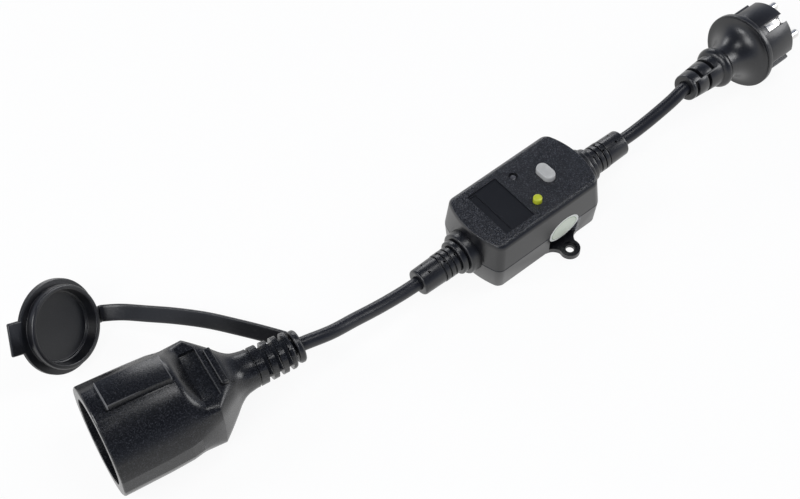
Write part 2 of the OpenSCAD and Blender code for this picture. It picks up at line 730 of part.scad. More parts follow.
module coupling_skin() {
    n = 18;
    share = (grip_from - ridge_x) / (grip_end - ridge_x);
    ridge = dome_ring(ridge_x, coup_w - 2.3, coup_h - 1.9, 5, n);
    grip = block_ring(grip_end, coup_w - 4.85, coup_h - 6.7, 5, 3.7, n);
    loft(concat(
        [for (v = [[0, 0.8, 0.8, 4.3], [0.8, 0, 0, 4.4], [24, 0.4, 0.5, 4.6], [36, 1, 1.1, 4.8]])
            dome_ring(v[0], coup_w - v[1], coup_h - v[2], v[3], n)],
        [ridge, level(between(ridge, grip, share), grip_z), level(grip, grip_z)],
        [for (v = [
            [54.6, 22.4, 20.2, 5, 3.7], [57, 20.7, 18.7, 4.8, 3.5], [60, 18.4, 17, 4.4, 3.3],
            [64, 15.2, 15, 3.4, 3], [68, 12.1, 12.2, 2.2, 2.6], [72, 10.2, 10.5, 1, 2.3],
            [77, 9.4, 9.4, 0.3, 2.3], [79, 9.25, 9.25, 0.2, 2.4], [79.3, 8.7, 8.7, 0.2, 2.4],
            [79.8, 8.7, 8.7, 0.2, 2.4], [80.2, 9.2, 9.2, 0.2, 2.5]
        ]) level(block_ring(v[0], v[1], v[2], v[3], v[4], n), grip_z)],
        [block_ring(coup_l - 1.2, 8.7, 8.7, 0.2, 2.5, n), block_ring(coup_l, 7.6, 7.6, 0.2, 2.4, n)]
    ));
}

module coupling_body() color(dark) at_coupling() difference() {
    union() {
        coupling_skin();
        rotate([plate_roll, 0, 0]) translate([plate_from, 0, coup_h]) rotate([0, plate_fall, 0])
            translate([0, -plate_size[1] / 2, -plate_deep])
                cube([plate_size[0], plate_size[1], plate_deep + plate_proud]);
        translate([rib_x, -rib_w / 2, grip_z - 4]) cube([rib_l, rib_w, 4 + rib_proud]);
    }
    along_x() rotate_extrude() polygon([
        [0, -1], [mouth_r, -1], [mouth_r, carrier_step], [carrier_tail_r + seat_gap, carrier_step],
        [carrier_tail_r + seat_gap, carrier_end], [0, carrier_end]
    ]);
    translate([finger_x, -finger_w / 2, grip_z - finger_deep]) cube([finger_l, finger_w, 9]);
    along_x() translate([0, 0, coup_l - mouth_depth]) cylinder(d = cord_d + 2 * cord_gap, h = mouth_depth + 1);
    sleeve_slots(collar_slots, collar_slot_t, collar_slot_w, collar_slot_r, collar_slot_turn, 0);
}

module contact_carrier() color(black) at_coupling() difference() {
    union() {
        along_x() rotate_extrude() polygon([
            [0, floor_x], [well_r, floor_x], [well_r, carrier_x], [mouth_r - seat_gap, carrier_x],
            [mouth_r - seat_gap, carrier_step], [carrier_tail_r, carrier_step], [carrier_tail_r, carrier_end],
            [0, carrier_end]
        ]);
        for (s = [-1, 1]) translate([carrier_x + 2, s > 0 ? guide_in : -well_r - 0.5, -guide_w / 2])
            cube([well_depth - 1.5, well_r + 0.5 - guide_in, guide_w]);
    }
    pin_pair(floor_x - 1, entry_r, floor_t + 2);
    pin_pair(floor_x + floor_t, sleeve_out, carrier_end);
    for (s = [0, 1]) mirror([0, 0, s]) translate([floor_x - 0.5, -clip_w / 2, clip_z])
        cube([clip_hold + 0.5, clip_w, clip_t]);
}

module pin_sleeves() color(metal) at_coupling() difference() {
    pin_pair(floor_x + floor_t, sleeve_out, carrier_end - floor_x - floor_t - 1);
    pin_pair(floor_x + floor_t - 1, sleeve_in, carrier_end - floor_x - floor_t + 1);
}

module earth_clips() color(metal) at_coupling() for (s = [0, 1]) mirror([0, 0, s])
    translate([carrier_x + clip_from, -clip_w / 2, clip_z])
        cube([well_depth - clip_from + clip_hold, clip_w, clip_t]);

module sealing_cap() color(dark) at_cap() {
    cup_r = lip_r - lip_wall;
    rotate_extrude() polygon([
        [0, -cap_t], [cap_r - 0.7, -cap_t], [cap_r, -cap_t + 0.7], [cap_r, -0.6], [cap_r - 0.6, 0],
        [lip_r - 0.9, 0], [lip_r - 0.9, 1.2], [lip_r, 2.2], [lip_r, lip_h - 0.8], [lip_r - 0.8, lip_h],
        [cup_r, lip_h], [cup_r - 0.8, cup_floor + 0.9], [cup_r - 1.5, cup_floor + 0.8],
        [cup_r - 1.7, cup_floor], [0, cup_floor]
    ]);
    translate([0, 0, -strap_deep - strap_t / 2]) linear_extrude(strap_t) {
        translate([-cap_r - tab_l, -tab_w / 2 + 2]) square([tab_l + 4, tab_w - 4]);
        translate([-cap_r - tab_l + 2, -tab_w / 2]) square([tab_l, tab_w]);
        for (s = [-1, 1]) translate([-cap_r - tab_l + 2, s * (tab_w / 2 - 2)]) circle(r = 2);
        translate([cap_r - 2, -strap_w / 2]) square([stub_l + 2, strap_w]);
    }
}

// Flat strap: a loft of oblong rings whose width follows the cap at one end and the eyelet at the other
eyelet_dir = coup_dir([0, cos(eyelet_turn), sin(eyelet_turn)]);
eyelet_wide = coup_dir([0, -sin(eyelet_turn), cos(eyelet_turn)]);
strap_end = coup_point([eyelet_x, 0, 0]) + (eyelet_stub + clear) * eyelet_dir;
strap_route = concat(
    [cap_point([root_x + clear, 0, -strap_deep]), cap_point([root_x + 6, 0, -strap_deep])], strap_mid,
    [strap_end + 3 * eyelet_dir, strap_end]
);
function strap_ring(c, d, w) =
    let (side = unit(w - (w * d) * d), up = cross(d, side))
    [for (q = [[1, 1], [-1, 1], [-1, -1], [1, -1]]) c + q[0] * strap_w / 2 * side + q[1] * strap_t / 2 * up];
module cap_strap() {
    last = len(strap_route) - 1;
    wide = cap_dir([0, 1, 0]);
    color(dark) loft([for (i = [0 : last])
        strap_ring(strap_route[i], heading(strap_route, i), wide + (eyelet_wide - wide) * i / last)]);
}

module strap_eyelet() color(dark) at_coupling() translate([eyelet_x - eyelet_t / 2, 0, 0]) difference() {
    union() {
        along_x() cylinder(r = eyelet_r, h = eyelet_t);
        rotate([eyelet_turn, 0, 0]) translate([eyelet_t / 2 - strap_t / 2, 0, -strap_w / 2])
            cube([strap_t, eyelet_stub, strap_w]);
    }
    along_x() translate([0, 0, -1]) cylinder(r = cord_d / 2 + clear, h = eyelet_t + 2);
}

upper_shell();
lower_shell();
shell_seal();
shell_screws();
reset_button();
contact_bar();
moving_contacts();
fixed_contacts();
reset_spring();
test_button();
test_switch();
test_spring();
indicator_lens();
circuit_board();
current_transformer();
trip_coil();
coil_yoke();
trip_plunger();
supply_terminals();
load_terminals();
supply_cores();
load_cores();
surge_varistor();
filter_capacitor();
supply_gland();
load_gland();
supply_cord();
load_cord();
plug_body();
plug_face();
plug_pins();
plug_earth_strips();
coupling_body();
contact_carrier();
pin_sleeves();
earth_clips();
sealing_cap();
cap_strap();
strap_eyelet();
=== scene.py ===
"""Looks of the in-line residual-current adapter lead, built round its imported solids."""
import math

import bpy
from mathutils import Matrix, Vector


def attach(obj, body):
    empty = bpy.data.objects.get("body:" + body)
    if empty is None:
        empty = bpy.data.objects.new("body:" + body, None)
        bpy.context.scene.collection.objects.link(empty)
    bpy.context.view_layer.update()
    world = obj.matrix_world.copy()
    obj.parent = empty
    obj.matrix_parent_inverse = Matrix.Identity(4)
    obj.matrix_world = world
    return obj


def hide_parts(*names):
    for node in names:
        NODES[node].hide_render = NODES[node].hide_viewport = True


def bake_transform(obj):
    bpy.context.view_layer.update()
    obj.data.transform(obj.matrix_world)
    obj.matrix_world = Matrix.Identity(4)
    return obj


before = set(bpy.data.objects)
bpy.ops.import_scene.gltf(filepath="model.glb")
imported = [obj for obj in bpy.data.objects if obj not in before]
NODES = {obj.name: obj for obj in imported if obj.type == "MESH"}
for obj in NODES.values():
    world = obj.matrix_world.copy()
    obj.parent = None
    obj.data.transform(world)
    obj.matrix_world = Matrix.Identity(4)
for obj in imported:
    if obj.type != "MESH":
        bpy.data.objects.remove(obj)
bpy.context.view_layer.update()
MM = 0.001
MM_PER_M = 1000


# Frames of the plug, the coupling and the cap as they lie on the table

def turn(axis, degrees):
    return Matrix.Rotation(math.radians(degrees), 4, axis)


def spot(x, y, z):
    return Matrix.Translation((x * MM, y * MM, z * MM))


# Sizes that several pieces share, in millimetres
PART_Z = 15.0
GLAND_Z = 15.6
SEAT_X = 36.7
GLAND_L = 33.4
COUPLING_L = 100.0
PLUG_TAIL = 50.0
CORD_R = 3.6
MOUTH_DEPTH = 4.0
MOUTH_R = 3.75

# The coupling's plate, rib and finger slot, along its axis and across it
PLATE_ROLL = 9
PLATE_FRONT, PLATE_BACK, PLATE_HALF = 7.5, 39.6, 8
RIB_FRONT, RIB_HALF = 60, 10.6
SLOT_FRONT, SLOT_BACK, SLOT_LEFT, SLOT_RIGHT = 48.8, 57.0, -14.4, 13.8

PLUG = spot(163.3, 1, 21.3) @ turn("Z", 4) @ turn("Y", 8) @ turn("X", 24)
COUPLING = spot(-244.7, 21, 27.8) @ turn("Z", -10)
CAP = spot(-222.1, 89.7, 21.6) @ turn("Z", 23.5) @ turn("X", 58.9) @ turn("Z", -35.4)
SUPPLY_GLAND = spot(SEAT_X, 0, GLAND_Z)
LOAD_GLAND = spot(-SEAT_X, 0, GLAND_Z) @ turn("Z", 180)


# Finishes

class Wire:
    """A socket that takes part in sums: each operator adds the Math node that works it out."""

    def __init__(self, net, socket):
        self.net = net
        self.socket = socket

    def math(self, operation, first, second):
        return self.net.add("ShaderNodeMath", {"operation": operation}, {0: first, 1: second})

    def __add__(self, other):
        return self.math("ADD", self, other)

    def __radd__(self, other):
        return self.math("ADD", other, self)

    def __sub__(self, other):
        return self.math("SUBTRACT", self, other)

    def __rsub__(self, other):
        return self.math("SUBTRACT", other, self)

    def __mul__(self, other):
        return self.math("MULTIPLY", self, other)

    def __truediv__(self, other):
        return self.math("DIVIDE", self, other)

    def __pow__(self, other):
        return self.math("POWER", self, other)

    def __gt__(self, other):
        return self.math("GREATER_THAN", self, other)

    def __lt__(self, other):
        return self.math("LESS_THAN", self, other)


class Net:
    """One material's nodes."""

    def __init__(self, name):
        self.material = bpy.data.materials.new(name)
        self.material.use_nodes = True
        self.tree = self.material.node_tree
        self.surface = self.tree.nodes["Principled BSDF"]
        self.place = self.add("ShaderNodeTexCoord", out="Object")

    def add(self, kind, settings=None, links=None, out=0):
        node = self.tree.nodes.new(kind)
        for key, value in (settings or {}).items():
            if key == "stops":
                self.set_stops(node.color_ramp, value)
            else:
                setattr(node, key, value)
        for key, value in (links or {}).items():
            self.feed(node.inputs[key], value)
        return Wire(self, node.outputs[out])

    def set_stops(self, ramp, stops):
        while len(ramp.elements) < len(stops):
            ramp.elements.new(0.5)
        for element, (position, tone) in zip(ramp.elements, stops):
            element.position = position
            element.color = (tone, tone, tone, 1)

    def feed(self, socket, value):
        if isinstance(value, Wire):
            self.tree.links.new(value.socket, socket)
        else:
            socket.default_value = value

    def set(self, **inputs):
        for key, value in inputs.items():
            self.feed(self.surface.inputs[key.replace("_", " ").title().replace("Ior", "IOR")], value)

    def axes(self, place=None):
        """x, y and z of a place, or else of the object's own, in millimetres."""
        parts = self.add("ShaderNodeSeparateXYZ", {}, {0: place or self.place}).socket.node
        return [Wire(self, parts.outputs[k]) * MM_PER_M for k in range(3)]

    def noise(self, scale, detail=3.0, rough=0.55, place=None):
        return self.add("ShaderNodeTexNoise", {}, {
            "Vector": place or self.place, "Scale": scale, "Detail": detail, "Roughness": rough})

    def ramp(self, value, stops):
        return self.add("ShaderNodeValToRGB", {"stops": stops}, {"Fac": value})

    def blend(self, factor, first, second):
        return self.add("ShaderNodeMix", {"data_type": "RGBA"}, {0: factor, 6: first, 7: second}, out=2)

    def stretch(self, scale=(1, 1, 1), moved=(0, 0, 0)):
        return self.add("ShaderNodeMapping", {}, {"Vector": self.place, "Scale": scale, "Location": moved})

    def bump(self, height, strength, distance):
        return self.add("ShaderNodeBump", {}, {"Height": height, "Strength": strength, "Distance": distance})


def shade(tone, tint=(1, 1, 1)):
    return (tone * tint[0], tone * tint[1], tone * tint[2], 1)


def dimmed(colour, share):
    return tuple(c * share for c in colour[:3]) + (1,)


BLACK_TINT = (0.9, 1.0, 1.5)
# Tint of the painted glints on the grain's tips
GLINT_TINT = (0.95, 1.0, 1.15)
# Tone of the painted edge highlights, partly standing for wear
EDGE_HIGHLIGHT_AND_WEAR = shade(0.16)
DUST = shade(0.3, (1.02, 1, 0.96))


def within(value, low, high):
    """1 where a value lies between two others."""
    return (value > low) * (value < high)


def box_top_area(net):
    """1 on the top of the box, 0 on its walls and in the sunk panel: where the painted glints go and the grain is
    deepest.
    """
    x, y, z = net.axes()
    top = net.ramp((z - 32.3) / 0.5, [(0.0, 0.0), (1.0, 1.0)])
    panel = within(x, -25, -6) * within(y, -15, 15)
    return top * (1 - panel)


def scallop_area(net):
    """1 on the far side of the hollow above the screw lug, where strong painted glints lighten that wall as a painted
    highlight.
    """
    x, y, z = net.axes()
    return within(x, 10.5, 21.2) * (y < -16) * (z > 3.05)


def coupling_axes(net):
    """The place in the coupling's own frame, in millimetres."""
    return net.axes(net.add("ShaderNodeMapping", {"vector_type": "TEXTURE"}, {
        "Vector": net.place, "Location": COUPLING.translation, "Rotation": COUPLING.to_euler()}))


def edge_highlights_and_wear(net):
    """How far the edges of the coupling's plate, rib and slot are lightened, up to 1: painted highlights along the
    edges, partly standing for handling wear.
    """
    x, y, z = coupling_axes(net)
    roll = math.radians(PLATE_ROLL)
    across = y * math.cos(roll) - z * math.sin(roll)
    high = z * math.cos(roll) + y * math.sin(roll)
    on_plate = (high > 27.2) * within(across, -PLATE_HALF - 0.1, PLATE_HALF + 0.1)
    front = on_plate * within(x, PLATE_FRONT - 0.2, PLATE_FRONT + 0.5)
    back = on_plate * within(x, PLATE_BACK - 0.6, PLATE_BACK + 0.2) * 0.4
    whole = on_plate * within(x, PLATE_FRONT - 0.1, PLATE_BACK + 0.1)
    side = whole * (across < 0.4 - PLATE_HALF) * (high > 29.2) * 0.35
    rib = within(x, RIB_FRONT - 0.2, RIB_FRONT + 0.5) * within(y, -RIB_HALF - 0.1, RIB_HALF + 0.1) * (z > 17.0) * 0.5
    slot_edge = within(x, SLOT_BACK - 0.2, SLOT_BACK + 0.5) * within(y, SLOT_LEFT - 0.1, SLOT_RIGHT + 0.1)
    return front + back + side + rib + slot_edge * within(z, 16.2, 17.0) * 0.3


def moulded_black(name, tone, rough, grain, grain_size, glint_tone, gloss, where=None, edges=None):
    """Black moulding: spark-eroded grain with painted glints on its tips, faint cloudy wear, a few dust specks and,
    where edges are given, painted edge highlights that partly stand for wear.
    """
    net = Net(name)
    area = where(net) if where else 1.0
    fine = net.noise(MM_PER_M / grain_size, 3.0, 0.7)
    tips = net.ramp(net.noise(MM_PER_M / grain_size, 4.0, 0.8, net.stretch(moved=(0.3, 0.7, 0.2))),
                    [(0.5, 0.0), (0.66, 1.0)])
    worn = net.ramp(net.noise(45, 4.0, 0.6), [(0.42, 0.0), (0.72, 1.0)])
    specks = net.ramp(net.noise(700, 1.0, 0.5), [(0.73, 0.0), (0.80, 1.0)])
    base = net.blend(worn * 0.3, shade(tone, BLACK_TINT), shade(tone * 1.8, BLACK_TINT))
    # painted glints: the grain's tips lightened, only where the area mask allows
    grained = net.blend(tips * area, base, shade(glint_tone, GLINT_TINT))
    if edges:
        # painted highlights along the given edges, partly standing for wear
        grained = net.blend(edges(net), grained, EDGE_HIGHLIGHT_AND_WEAR)
    net.set(base_color=net.blend(specks * 0.06, grained, DUST),
            roughness=rough - 0.03 + fine * 0.06 + worn * 0.02, specular_ior_level=gloss,
            normal=net.bump(fine * (area * 0.85 + 0.15), grain, 0.0002))
    return net.material


def cord_sheath(name):
    """Smooth cord jacket with a slight lengthwise draw and small handling marks."""
    net = Net(name)
    drawn = net.noise(220, 3.0, 0.6, net.stretch((0.12, 1, 1)))
    fine = net.noise(2600, 2.0, 0.5)
    marks = net.ramp(net.noise(75, 4.0, 0.65), [(0.5, 0.0), (0.75, 1.0)])
    net.set(base_color=net.blend(marks * 0.4, shade(0.007, BLACK_TINT), shade(0.014, BLACK_TINT)),
            roughness=0.30 + drawn * 0.08 + marks * 0.08,
            normal=net.bump(drawn + fine * 0.15, 0.06, 0.0001))
    return net.material


def button_plastic(name, colour, low, rough=0.3):
    """Bright moulded plastic with a soft uneven gloss and dust in it."""
    net = Net(name)
    cloud = net.noise(260, 3.0, 0.55)
    fine = net.noise(3200, 2.0, 0.5)
    net.set(base_color=net.blend(net.ramp(cloud, [(0.3, 0.0), (0.75, 1.0)]), colour, low),
            roughness=rough + fine * 0.12, normal=net.bump(fine, 0.12, 0.00008))
    return net.material


def plated_metal(name, colour, rough, streak):
    """Bright plated metal with fine lengthwise drawing lines and slight clouding."""
    net = Net(name)
    lines = net.noise(1600, 3.0, 0.6, net.stretch(streak))
    cloud = net.noise(120, 3.0, 0.5)
    net.set(base_color=net.blend(cloud, colour, dimmed(colour, 0.86)),
            roughness=rough + lines * 0.14, normal=net.bump(lines, 0.15, 0.00006))
    net.surface.inputs["Metallic"].default_value = 1.0
    return net.material


def inner_piece(name, colour, rough=0.5, metallic=0.0):
    """Pieces inside the box: plain moulding or metal with light mottling."""
    net = Net(name)
    cloud = net.noise(300, 3.0, 0.6)
    fine = net.noise(2400, 2.0, 0.5)
    net.set(base_color=net.blend(cloud, colour, dimmed(colour, 0.7)),
            roughness=rough + fine * 0.15, normal=net.bump(fine, 0.15, 0.0001))
    net.surface.inputs["Metallic"].default_value = metallic
    return net.material


# The box top gets painted glints; its walls and sunk panel do not.
SHELL = moulded_black("grained_shell", tone=0.003, rough=0.30, grain=0.8, grain_size=0.8, glint_tone=0.075,
                      gloss=0.64, where=box_top_area)
RUBBER = moulded_black("satin_rubber", tone=0.003, rough=0.31, grain=0.1, grain_size=0.6, glint_tone=0.012, gloss=0.68)
# The far side of the hollow above the lug gets a painted highlight of strong glints.
SHELL_BASE = moulded_black("scalloped_shell", tone=0.003, rough=0.30, grain=0.1, grain_size=0.8, glint_tone=0.30,
                           gloss=0.64, where=scallop_area)
# The coupling's edge lines are painted highlights, partly standing for wear.
GRIP = moulded_black("grained_rubber", tone=0.0015, rough=0.26, grain=0.22, grain_size=0.8, glint_tone=0.032,
                     gloss=0.45, edges=edge_highlights_and_wear)
CORD = cord_sheath("cord_sheath")
PALE = button_plastic("off_white_button", (0.47, 0.47, 0.455, 1), (0.40, 0.40, 0.385, 1))
YELLOW = button_plastic("yellow_button", (0.52, 0.56, 0.035, 1), (0.42, 0.46, 0.02, 1))
PLATED = plated_metal("plated_brass", (0.80, 0.79, 0.77, 1), 0.22, (0.05, 1, 1))
STEEL = inner_piece("zinc_steel", (0.6, 0.6, 0.6, 1), 0.35, 1.0)
BRASS = inner_piece("bare_brass", (0.75, 0.58, 0.27, 1), 0.3, 1.0)
COPPER = inner_piece("copper_wire", (0.7, 0.4, 0.22, 1), 0.35, 1.0)
INNER = inner_piece("inner_moulding", (0.2, 0.24, 0.22, 1))
BOARD = inner_piece("green_board", (0.07, 0.24, 0.12, 1), 0.4)
FERRITE = inner_piece("ring_core", (0.45, 0.4, 0.18, 1))
LENS = button_plastic("smoky_lens", (0.05, 0.05, 0.055, 1), (0.10, 0.10, 0.11, 1), 0.08)

for node, finish in {
    "upper_shell": SHELL, "lower_shell": SHELL, "shell_seal": RUBBER, "shell_screws": STEEL, "reset_button": PALE,
    "contact_bar": INNER, "moving_contacts": BRASS, "fixed_contacts": BRASS, "reset_spring": STEEL,
    "test_button": YELLOW, "test_switch": INNER, "test_spring": STEEL, "indicator_lens": LENS, "circuit_board": BOARD,
    "current_transformer": FERRITE, "trip_coil": COPPER, "coil_yoke": STEEL, "trip_plunger": STEEL,
    "supply_terminals": INNER, "load_terminals": INNER, "supply_cores": COPPER, "load_cores": COPPER,
    "surge_varistor": INNER, "filter_capacitor": INNER, "supply_gland": RUBBER, "load_gland": RUBBER,
    "plug_body": RUBBER, "plug_face": RUBBER, "plug_pins": PLATED, "plug_earth_strips": PLATED, "coupling_body": GRIP,
    "contact_carrier": RUBBER, "pin_sleeves": BRASS, "earth_clips": PLATED, "sealing_cap": RUBBER,
    "cap_strap": RUBBER, "strap_eyelet": RUBBER,
}.items():
    NODES[node].data.materials.clear()
    NODES[node].data.materials.append(finish)


# Cords: one smooth curve each, through the points of the solids' routes

def smooth_route(points, steps):
    """Points on a Catmull-Rom curve through the given ones."""
    ends = [points[0] * 2 - points[1]] + points + [points[-1] * 2 - points[-2]]
    out = []
    for a, b, c, d in zip(ends, ends[1:], ends[2:], ends[3:]):
        for i in range(steps):
            t = i / steps
            out.append(0.5 * (2 * b + (c - a) * t + (2 * a - 5 * b + 4 * c - d) * t * t
                              + (3 * b - a - 3 * c + d) * t ** 3))
    return out + [points[-1]]


def cord_curve(name, points):
    data = bpy.data.curves.new(name, "CURVE")
    data.dimensions = "3D"
    data.bevel_depth = CORD_R * MM
    data.bevel_resolution = 7
    data.use_fill_caps = True
    line = data.splines.new("POLY")
    line.points.add(len(points) - 1)
    for knot, p in zip(line.points, points):
        knot.co = (*p, 1)
    line.use_smooth = True
    obj = bpy.data.objects.new(name, data)
    bpy.context.collection.objects.link(obj)
    data.materials.append(CORD)
    return obj


def millimetres(*points):
    return [Vector(p) * MM for p in points]


CORD_STEPS = 5
load_points = smooth_route(
    [COUPLING @ Vector(((COUPLING_L - MOUTH_DEPTH) * MM, 0, 0)), COUPLING @ Vector(((COUPLING_L + 6) * MM, 0, 0))]
    + millimetres((-125, 0, 25.6), (-111, 0, 22.4), (-97, 0, 19), (-83, 0, 16.6),
                  (-SEAT_X - GLAND_L - 1, 0, GLAND_Z), (-SEAT_X - GLAND_L + MOUTH_DEPTH, 0, GLAND_Z)), CORD_STEPS)
supply_points = smooth_route(
    millimetres((SEAT_X + GLAND_L - MOUTH_DEPTH, 0, GLAND_Z), (SEAT_X + GLAND_L + 1, 0, GLAND_Z),
                (80, -0.6, 16.8), (92, -1.8, 20.8), (104, -2.8, 25.6))
    + [PLUG @ Vector(((-PLUG_TAIL - 1) * MM, 0, 0)), PLUG @ Vector(((-PLUG_TAIL + MOUTH_DEPTH) * MM, 0, 0))],
    CORD_STEPS)
load_points.reverse()
load_cord = cord_curve("load_flex", load_points)
supply_cord = cord_curve("supply_flex", supply_points)


def route_length(points):
    return sum((b - a).length for a, b in zip(points, points[1:]))


for cord, node in ((load_cord, "load_cord"), (supply_cord, "supply_cord")):
    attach(cord, "lead")
    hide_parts(node)


# Bench work: the few ways in which the pieces are shaped

WELD = 2e-6


def pick(*pieces):
    bpy.ops.object.select_all(action="DESELECT")
    for piece in pieces:
        piece.select_set(True)
    bpy.context.view_layer.objects.active = pieces[0]


def finish_modifier(piece, kind, **settings):
    modifier = piece.modifiers.new(kind.lower(), kind)
    for key, value in settings.items():
        setattr(modifier, key, value)
    pick(piece)
    bpy.ops.object.modifier_apply(modifier=modifier.name)


def softened(corners, steps=4):
    """A line of corners, each (a, b) or (a, b, radius), with the corners that have a radius rounded."""
    out = []
    for i, corner in enumerate(corners):
        here = Vector(corner[:2])
        if len(corner) < 3 or i in (0, len(corners) - 1):
            out.append(here)
            continue
        before = Vector(corners[i - 1][:2]) - here
        after = Vector(corners[i + 1][:2]) - here
        half = before.angle(after) / 2
        reach = min(corner[2] / max(math.tan(half), 0.05), before.length * 0.49, after.length * 0.49)
        first, last = here + before.normalized() * reach, here + after.normalized() * reach
        for k in range(steps + 1):
            t = k / steps
            out.append(first * (1 - t) ** 2 + here * (2 * t * (1 - t)) + last * t * t)
    return [(p.x, p.y) for p in out]


def turned(profile, sides=96):
    """Lathe work about the X axis, from a line of (station, radius) in millimetres."""
    bpy.ops.object.select_all(action="DESELECT")
    bpy.ops.mesh.primitive_plane_add(size=MM)
    piece = bpy.context.object
    bpy.ops.object.mode_set(mode="EDIT")
    bpy.ops.mesh.merge(type="CENTER")
    bpy.ops.transform.translate(value=(profile[0][0] * MM, 0, profile[0][1] * MM))
    for (xa, ra), (xb, rb) in zip(profile, profile[1:]):
        bpy.ops.mesh.extrude_region_move(TRANSFORM_OT_translate={"value": ((xb - xa) * MM, 0, (rb - ra) * MM)})
    bpy.ops.mesh.select_all(action="SELECT")
    bpy.ops.mesh.spin(steps=sides, angle=math.tau, center=(0, 0, 0), axis=(1, 0, 0))
    bpy.ops.mesh.select_all(action="SELECT")
    bpy.ops.mesh.remove_doubles(threshold=WELD)
    bpy.ops.mesh.normals_make_consistent(inside=False)
    bpy.ops.object.mode_set(mode="OBJECT")
    return piece


def lofted(rings):
    """A closed skin through rings of as many points each, in millimetres, its ends filled."""
    rows, around = len(rings), len(rings[0])
    bpy.ops.object.select_all(action="DESELECT")
    bpy.ops.mesh.primitive_grid_add(x_subdivisions=around, y_subdivisions=rows - 1, size=MM)
    piece = bpy.context.object
    for j, ring in enumerate(rings):
        for i in range(around + 1):
            piece.data.vertices[j * (around + 1) + i].co = Vector(ring[i % around]) * MM
    bpy.ops.object.mode_set(mode="EDIT")
    bpy.ops.mesh.select_all(action="SELECT")
    bpy.ops.mesh.remove_doubles(threshold=WELD)
    bpy.ops.mesh.fill_holes(sides=0)
    bpy.ops.mesh.select_all(action="SELECT")
    bpy.ops.mesh.normals_make_consistent(inside=False)
    bpy.ops.object.mode_set(mode="OBJECT")
    return piece


def block(low, high, round_r=0.0, steps=2):
    """A squared block between two corners, in millimetres, with its edges rounded."""
    size = [(b - a) * MM for a, b in zip(low, high)]
    bpy.ops.object.select_all(action="DESELECT")
    bpy.ops.mesh.primitive_cube_add(size=1)
    piece = bpy.context.object
    bpy.ops.object.mode_set(mode="EDIT")
    bpy.ops.transform.resize(value=size)
    bpy.ops.transform.translate(value=[(a + b) / 2 * MM for a, b in zip(low, high)])
    if round_r:
        bpy.ops.mesh.bevel(offset=round_r * MM, segments=steps, affect="EDGES")
    bpy.ops.object.mode_set(mode="OBJECT")
    return piece


def placed(piece, matrix):
    """Moves a piece's own mesh, so that its object stays at the origin."""
    pick(piece)
    piece.matrix_world = matrix
    bpy.ops.object.transform_apply(location=True, rotation=True, scale=True)
    return piece


def joined(pieces):
    pick(*pieces)
    if len(pieces) > 1:
        bpy.ops.object.join()
    return pieces[0]


def worked(piece, tool, operation="DIFFERENCE"):
    """Cuts a piece with a tool, or melts the tool into it."""
    finish_modifier(piece, "BOOLEAN", object=tool, operation=operation, solver="EXACT")
    bpy.data.objects.remove(tool)
    return piece


def eased(piece, width, angle=40, steps=2):
    """Takes the sharpness off the edges that turn by more than an angle."""
    finish_modifier(piece, "BEVEL", width=width * MM, segments=steps, limit_method="ANGLE",
                    angle_limit=math.radians(angle), use_clamp_overlap=True, miter_outer="MITER_ARC")


def handed_in(piece, name, finish, body, slot, *stands_for, smooth=32):
    """Names a finished piece, gives it its finish and says what it rides on and stands for."""
    piece.name = name
    piece.data.name = name
    pick(piece)
    bpy.ops.object.shade_smooth_by_angle(angle=math.radians(smooth))
    piece.data.materials.clear()
    piece.data.materials.append(finish)
    if body:
        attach(piece, body)
    if stands_for:
        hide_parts(*stands_for)
    return piece


# Glands: collars, three rings and a smooth sleeve, with small square vents in two rows above and two below

RINGS_AT = 10.3
RING_COUNT = 3
RING_PITCH = 3.2
RING_GAP = 0.6
RING_FLOOR = 6.75
RING_R = 7.6
VENT = 1.1
VENT_FLOOR, VENT_TOP = 5.4, 9
VENT_STATIONS = (11.1, 18.0, 27.55)
VENT_ANGLES = (17, -35, 197, 145)


def gland_piece(name, place, node, hand):
    collars = [(-6.4, 0), (-6.4, 9, 0.4), (-3.4, 9, 0.4), (-3.4, 6.5), (0, 6.5), (0, 11.5, 0.2), (6.5, 11.5, 1.2),
               (6.6, 8.3, 0.3), (7.1, 8.3, 0.3), (7.2, 9.4, 0.4), (10.2, 9.3, 0.8)]
    rings = []
    for i in range(RING_COUNT):
        at = RINGS_AT + i * RING_PITCH
        rings += [(at, RING_FLOOR, 0.1), (at + RING_GAP, RING_FLOOR, 0.1), (at + RING_GAP + 0.1, RING_R, 0.25),
                  (at + RING_PITCH - 0.05, RING_R, 0.25)]
    at = RINGS_AT + RING_COUNT * RING_PITCH
    sleeve = [(at, RING_FLOOR, 0.1), (at + RING_GAP, RING_FLOOR, 0.1), (at + RING_GAP + 0.1, 7.35, 0.25),
              (GLAND_L, 7.1, 1.3), (GLAND_L, MOUTH_R, 0.5), (GLAND_L - MOUTH_DEPTH, MOUTH_R),
              (GLAND_L - MOUTH_DEPTH, 0)]
    piece = turned(softened(collars + rings + sleeve))
    vents = []
    for station in VENT_STATIONS:
        for angle in VENT_ANGLES:
            hole = block((station - VENT / 2, -VENT / 2, VENT_FLOOR), (station + VENT / 2, VENT / 2, VENT_TOP))
            vents.append(placed(hole, turn("X", angle * hand)))
    worked(piece, joined(vents))
    handed_in(placed(piece, place), name, RUBBER, "lead", "rubber", node)


gland_piece("supply_strain_relief", SUPPLY_GLAND, "supply_gland", 1)
gland_piece("load_strain_relief", LOAD_GLAND, "load_gland", -1)


# Slots across the four sides of a sleeve, with posts left between the sides

def sleeve_slots(stations, thick, depth_r, wide, turned_by, lag=0.0):
    tools = []
    for side in range(4):
        for x in stations:
            low = (x + lag * (side % 2), -wide / 2, depth_r)
            tool = block(low, (low[0] + thick, wide / 2, depth_r + 7), 0.35)
            tools.append(placed(tool, turn("X", turned_by + 90 * side)))
    return joined(tools)


# Plug: flanged bell with a ball collar and a slotted tail

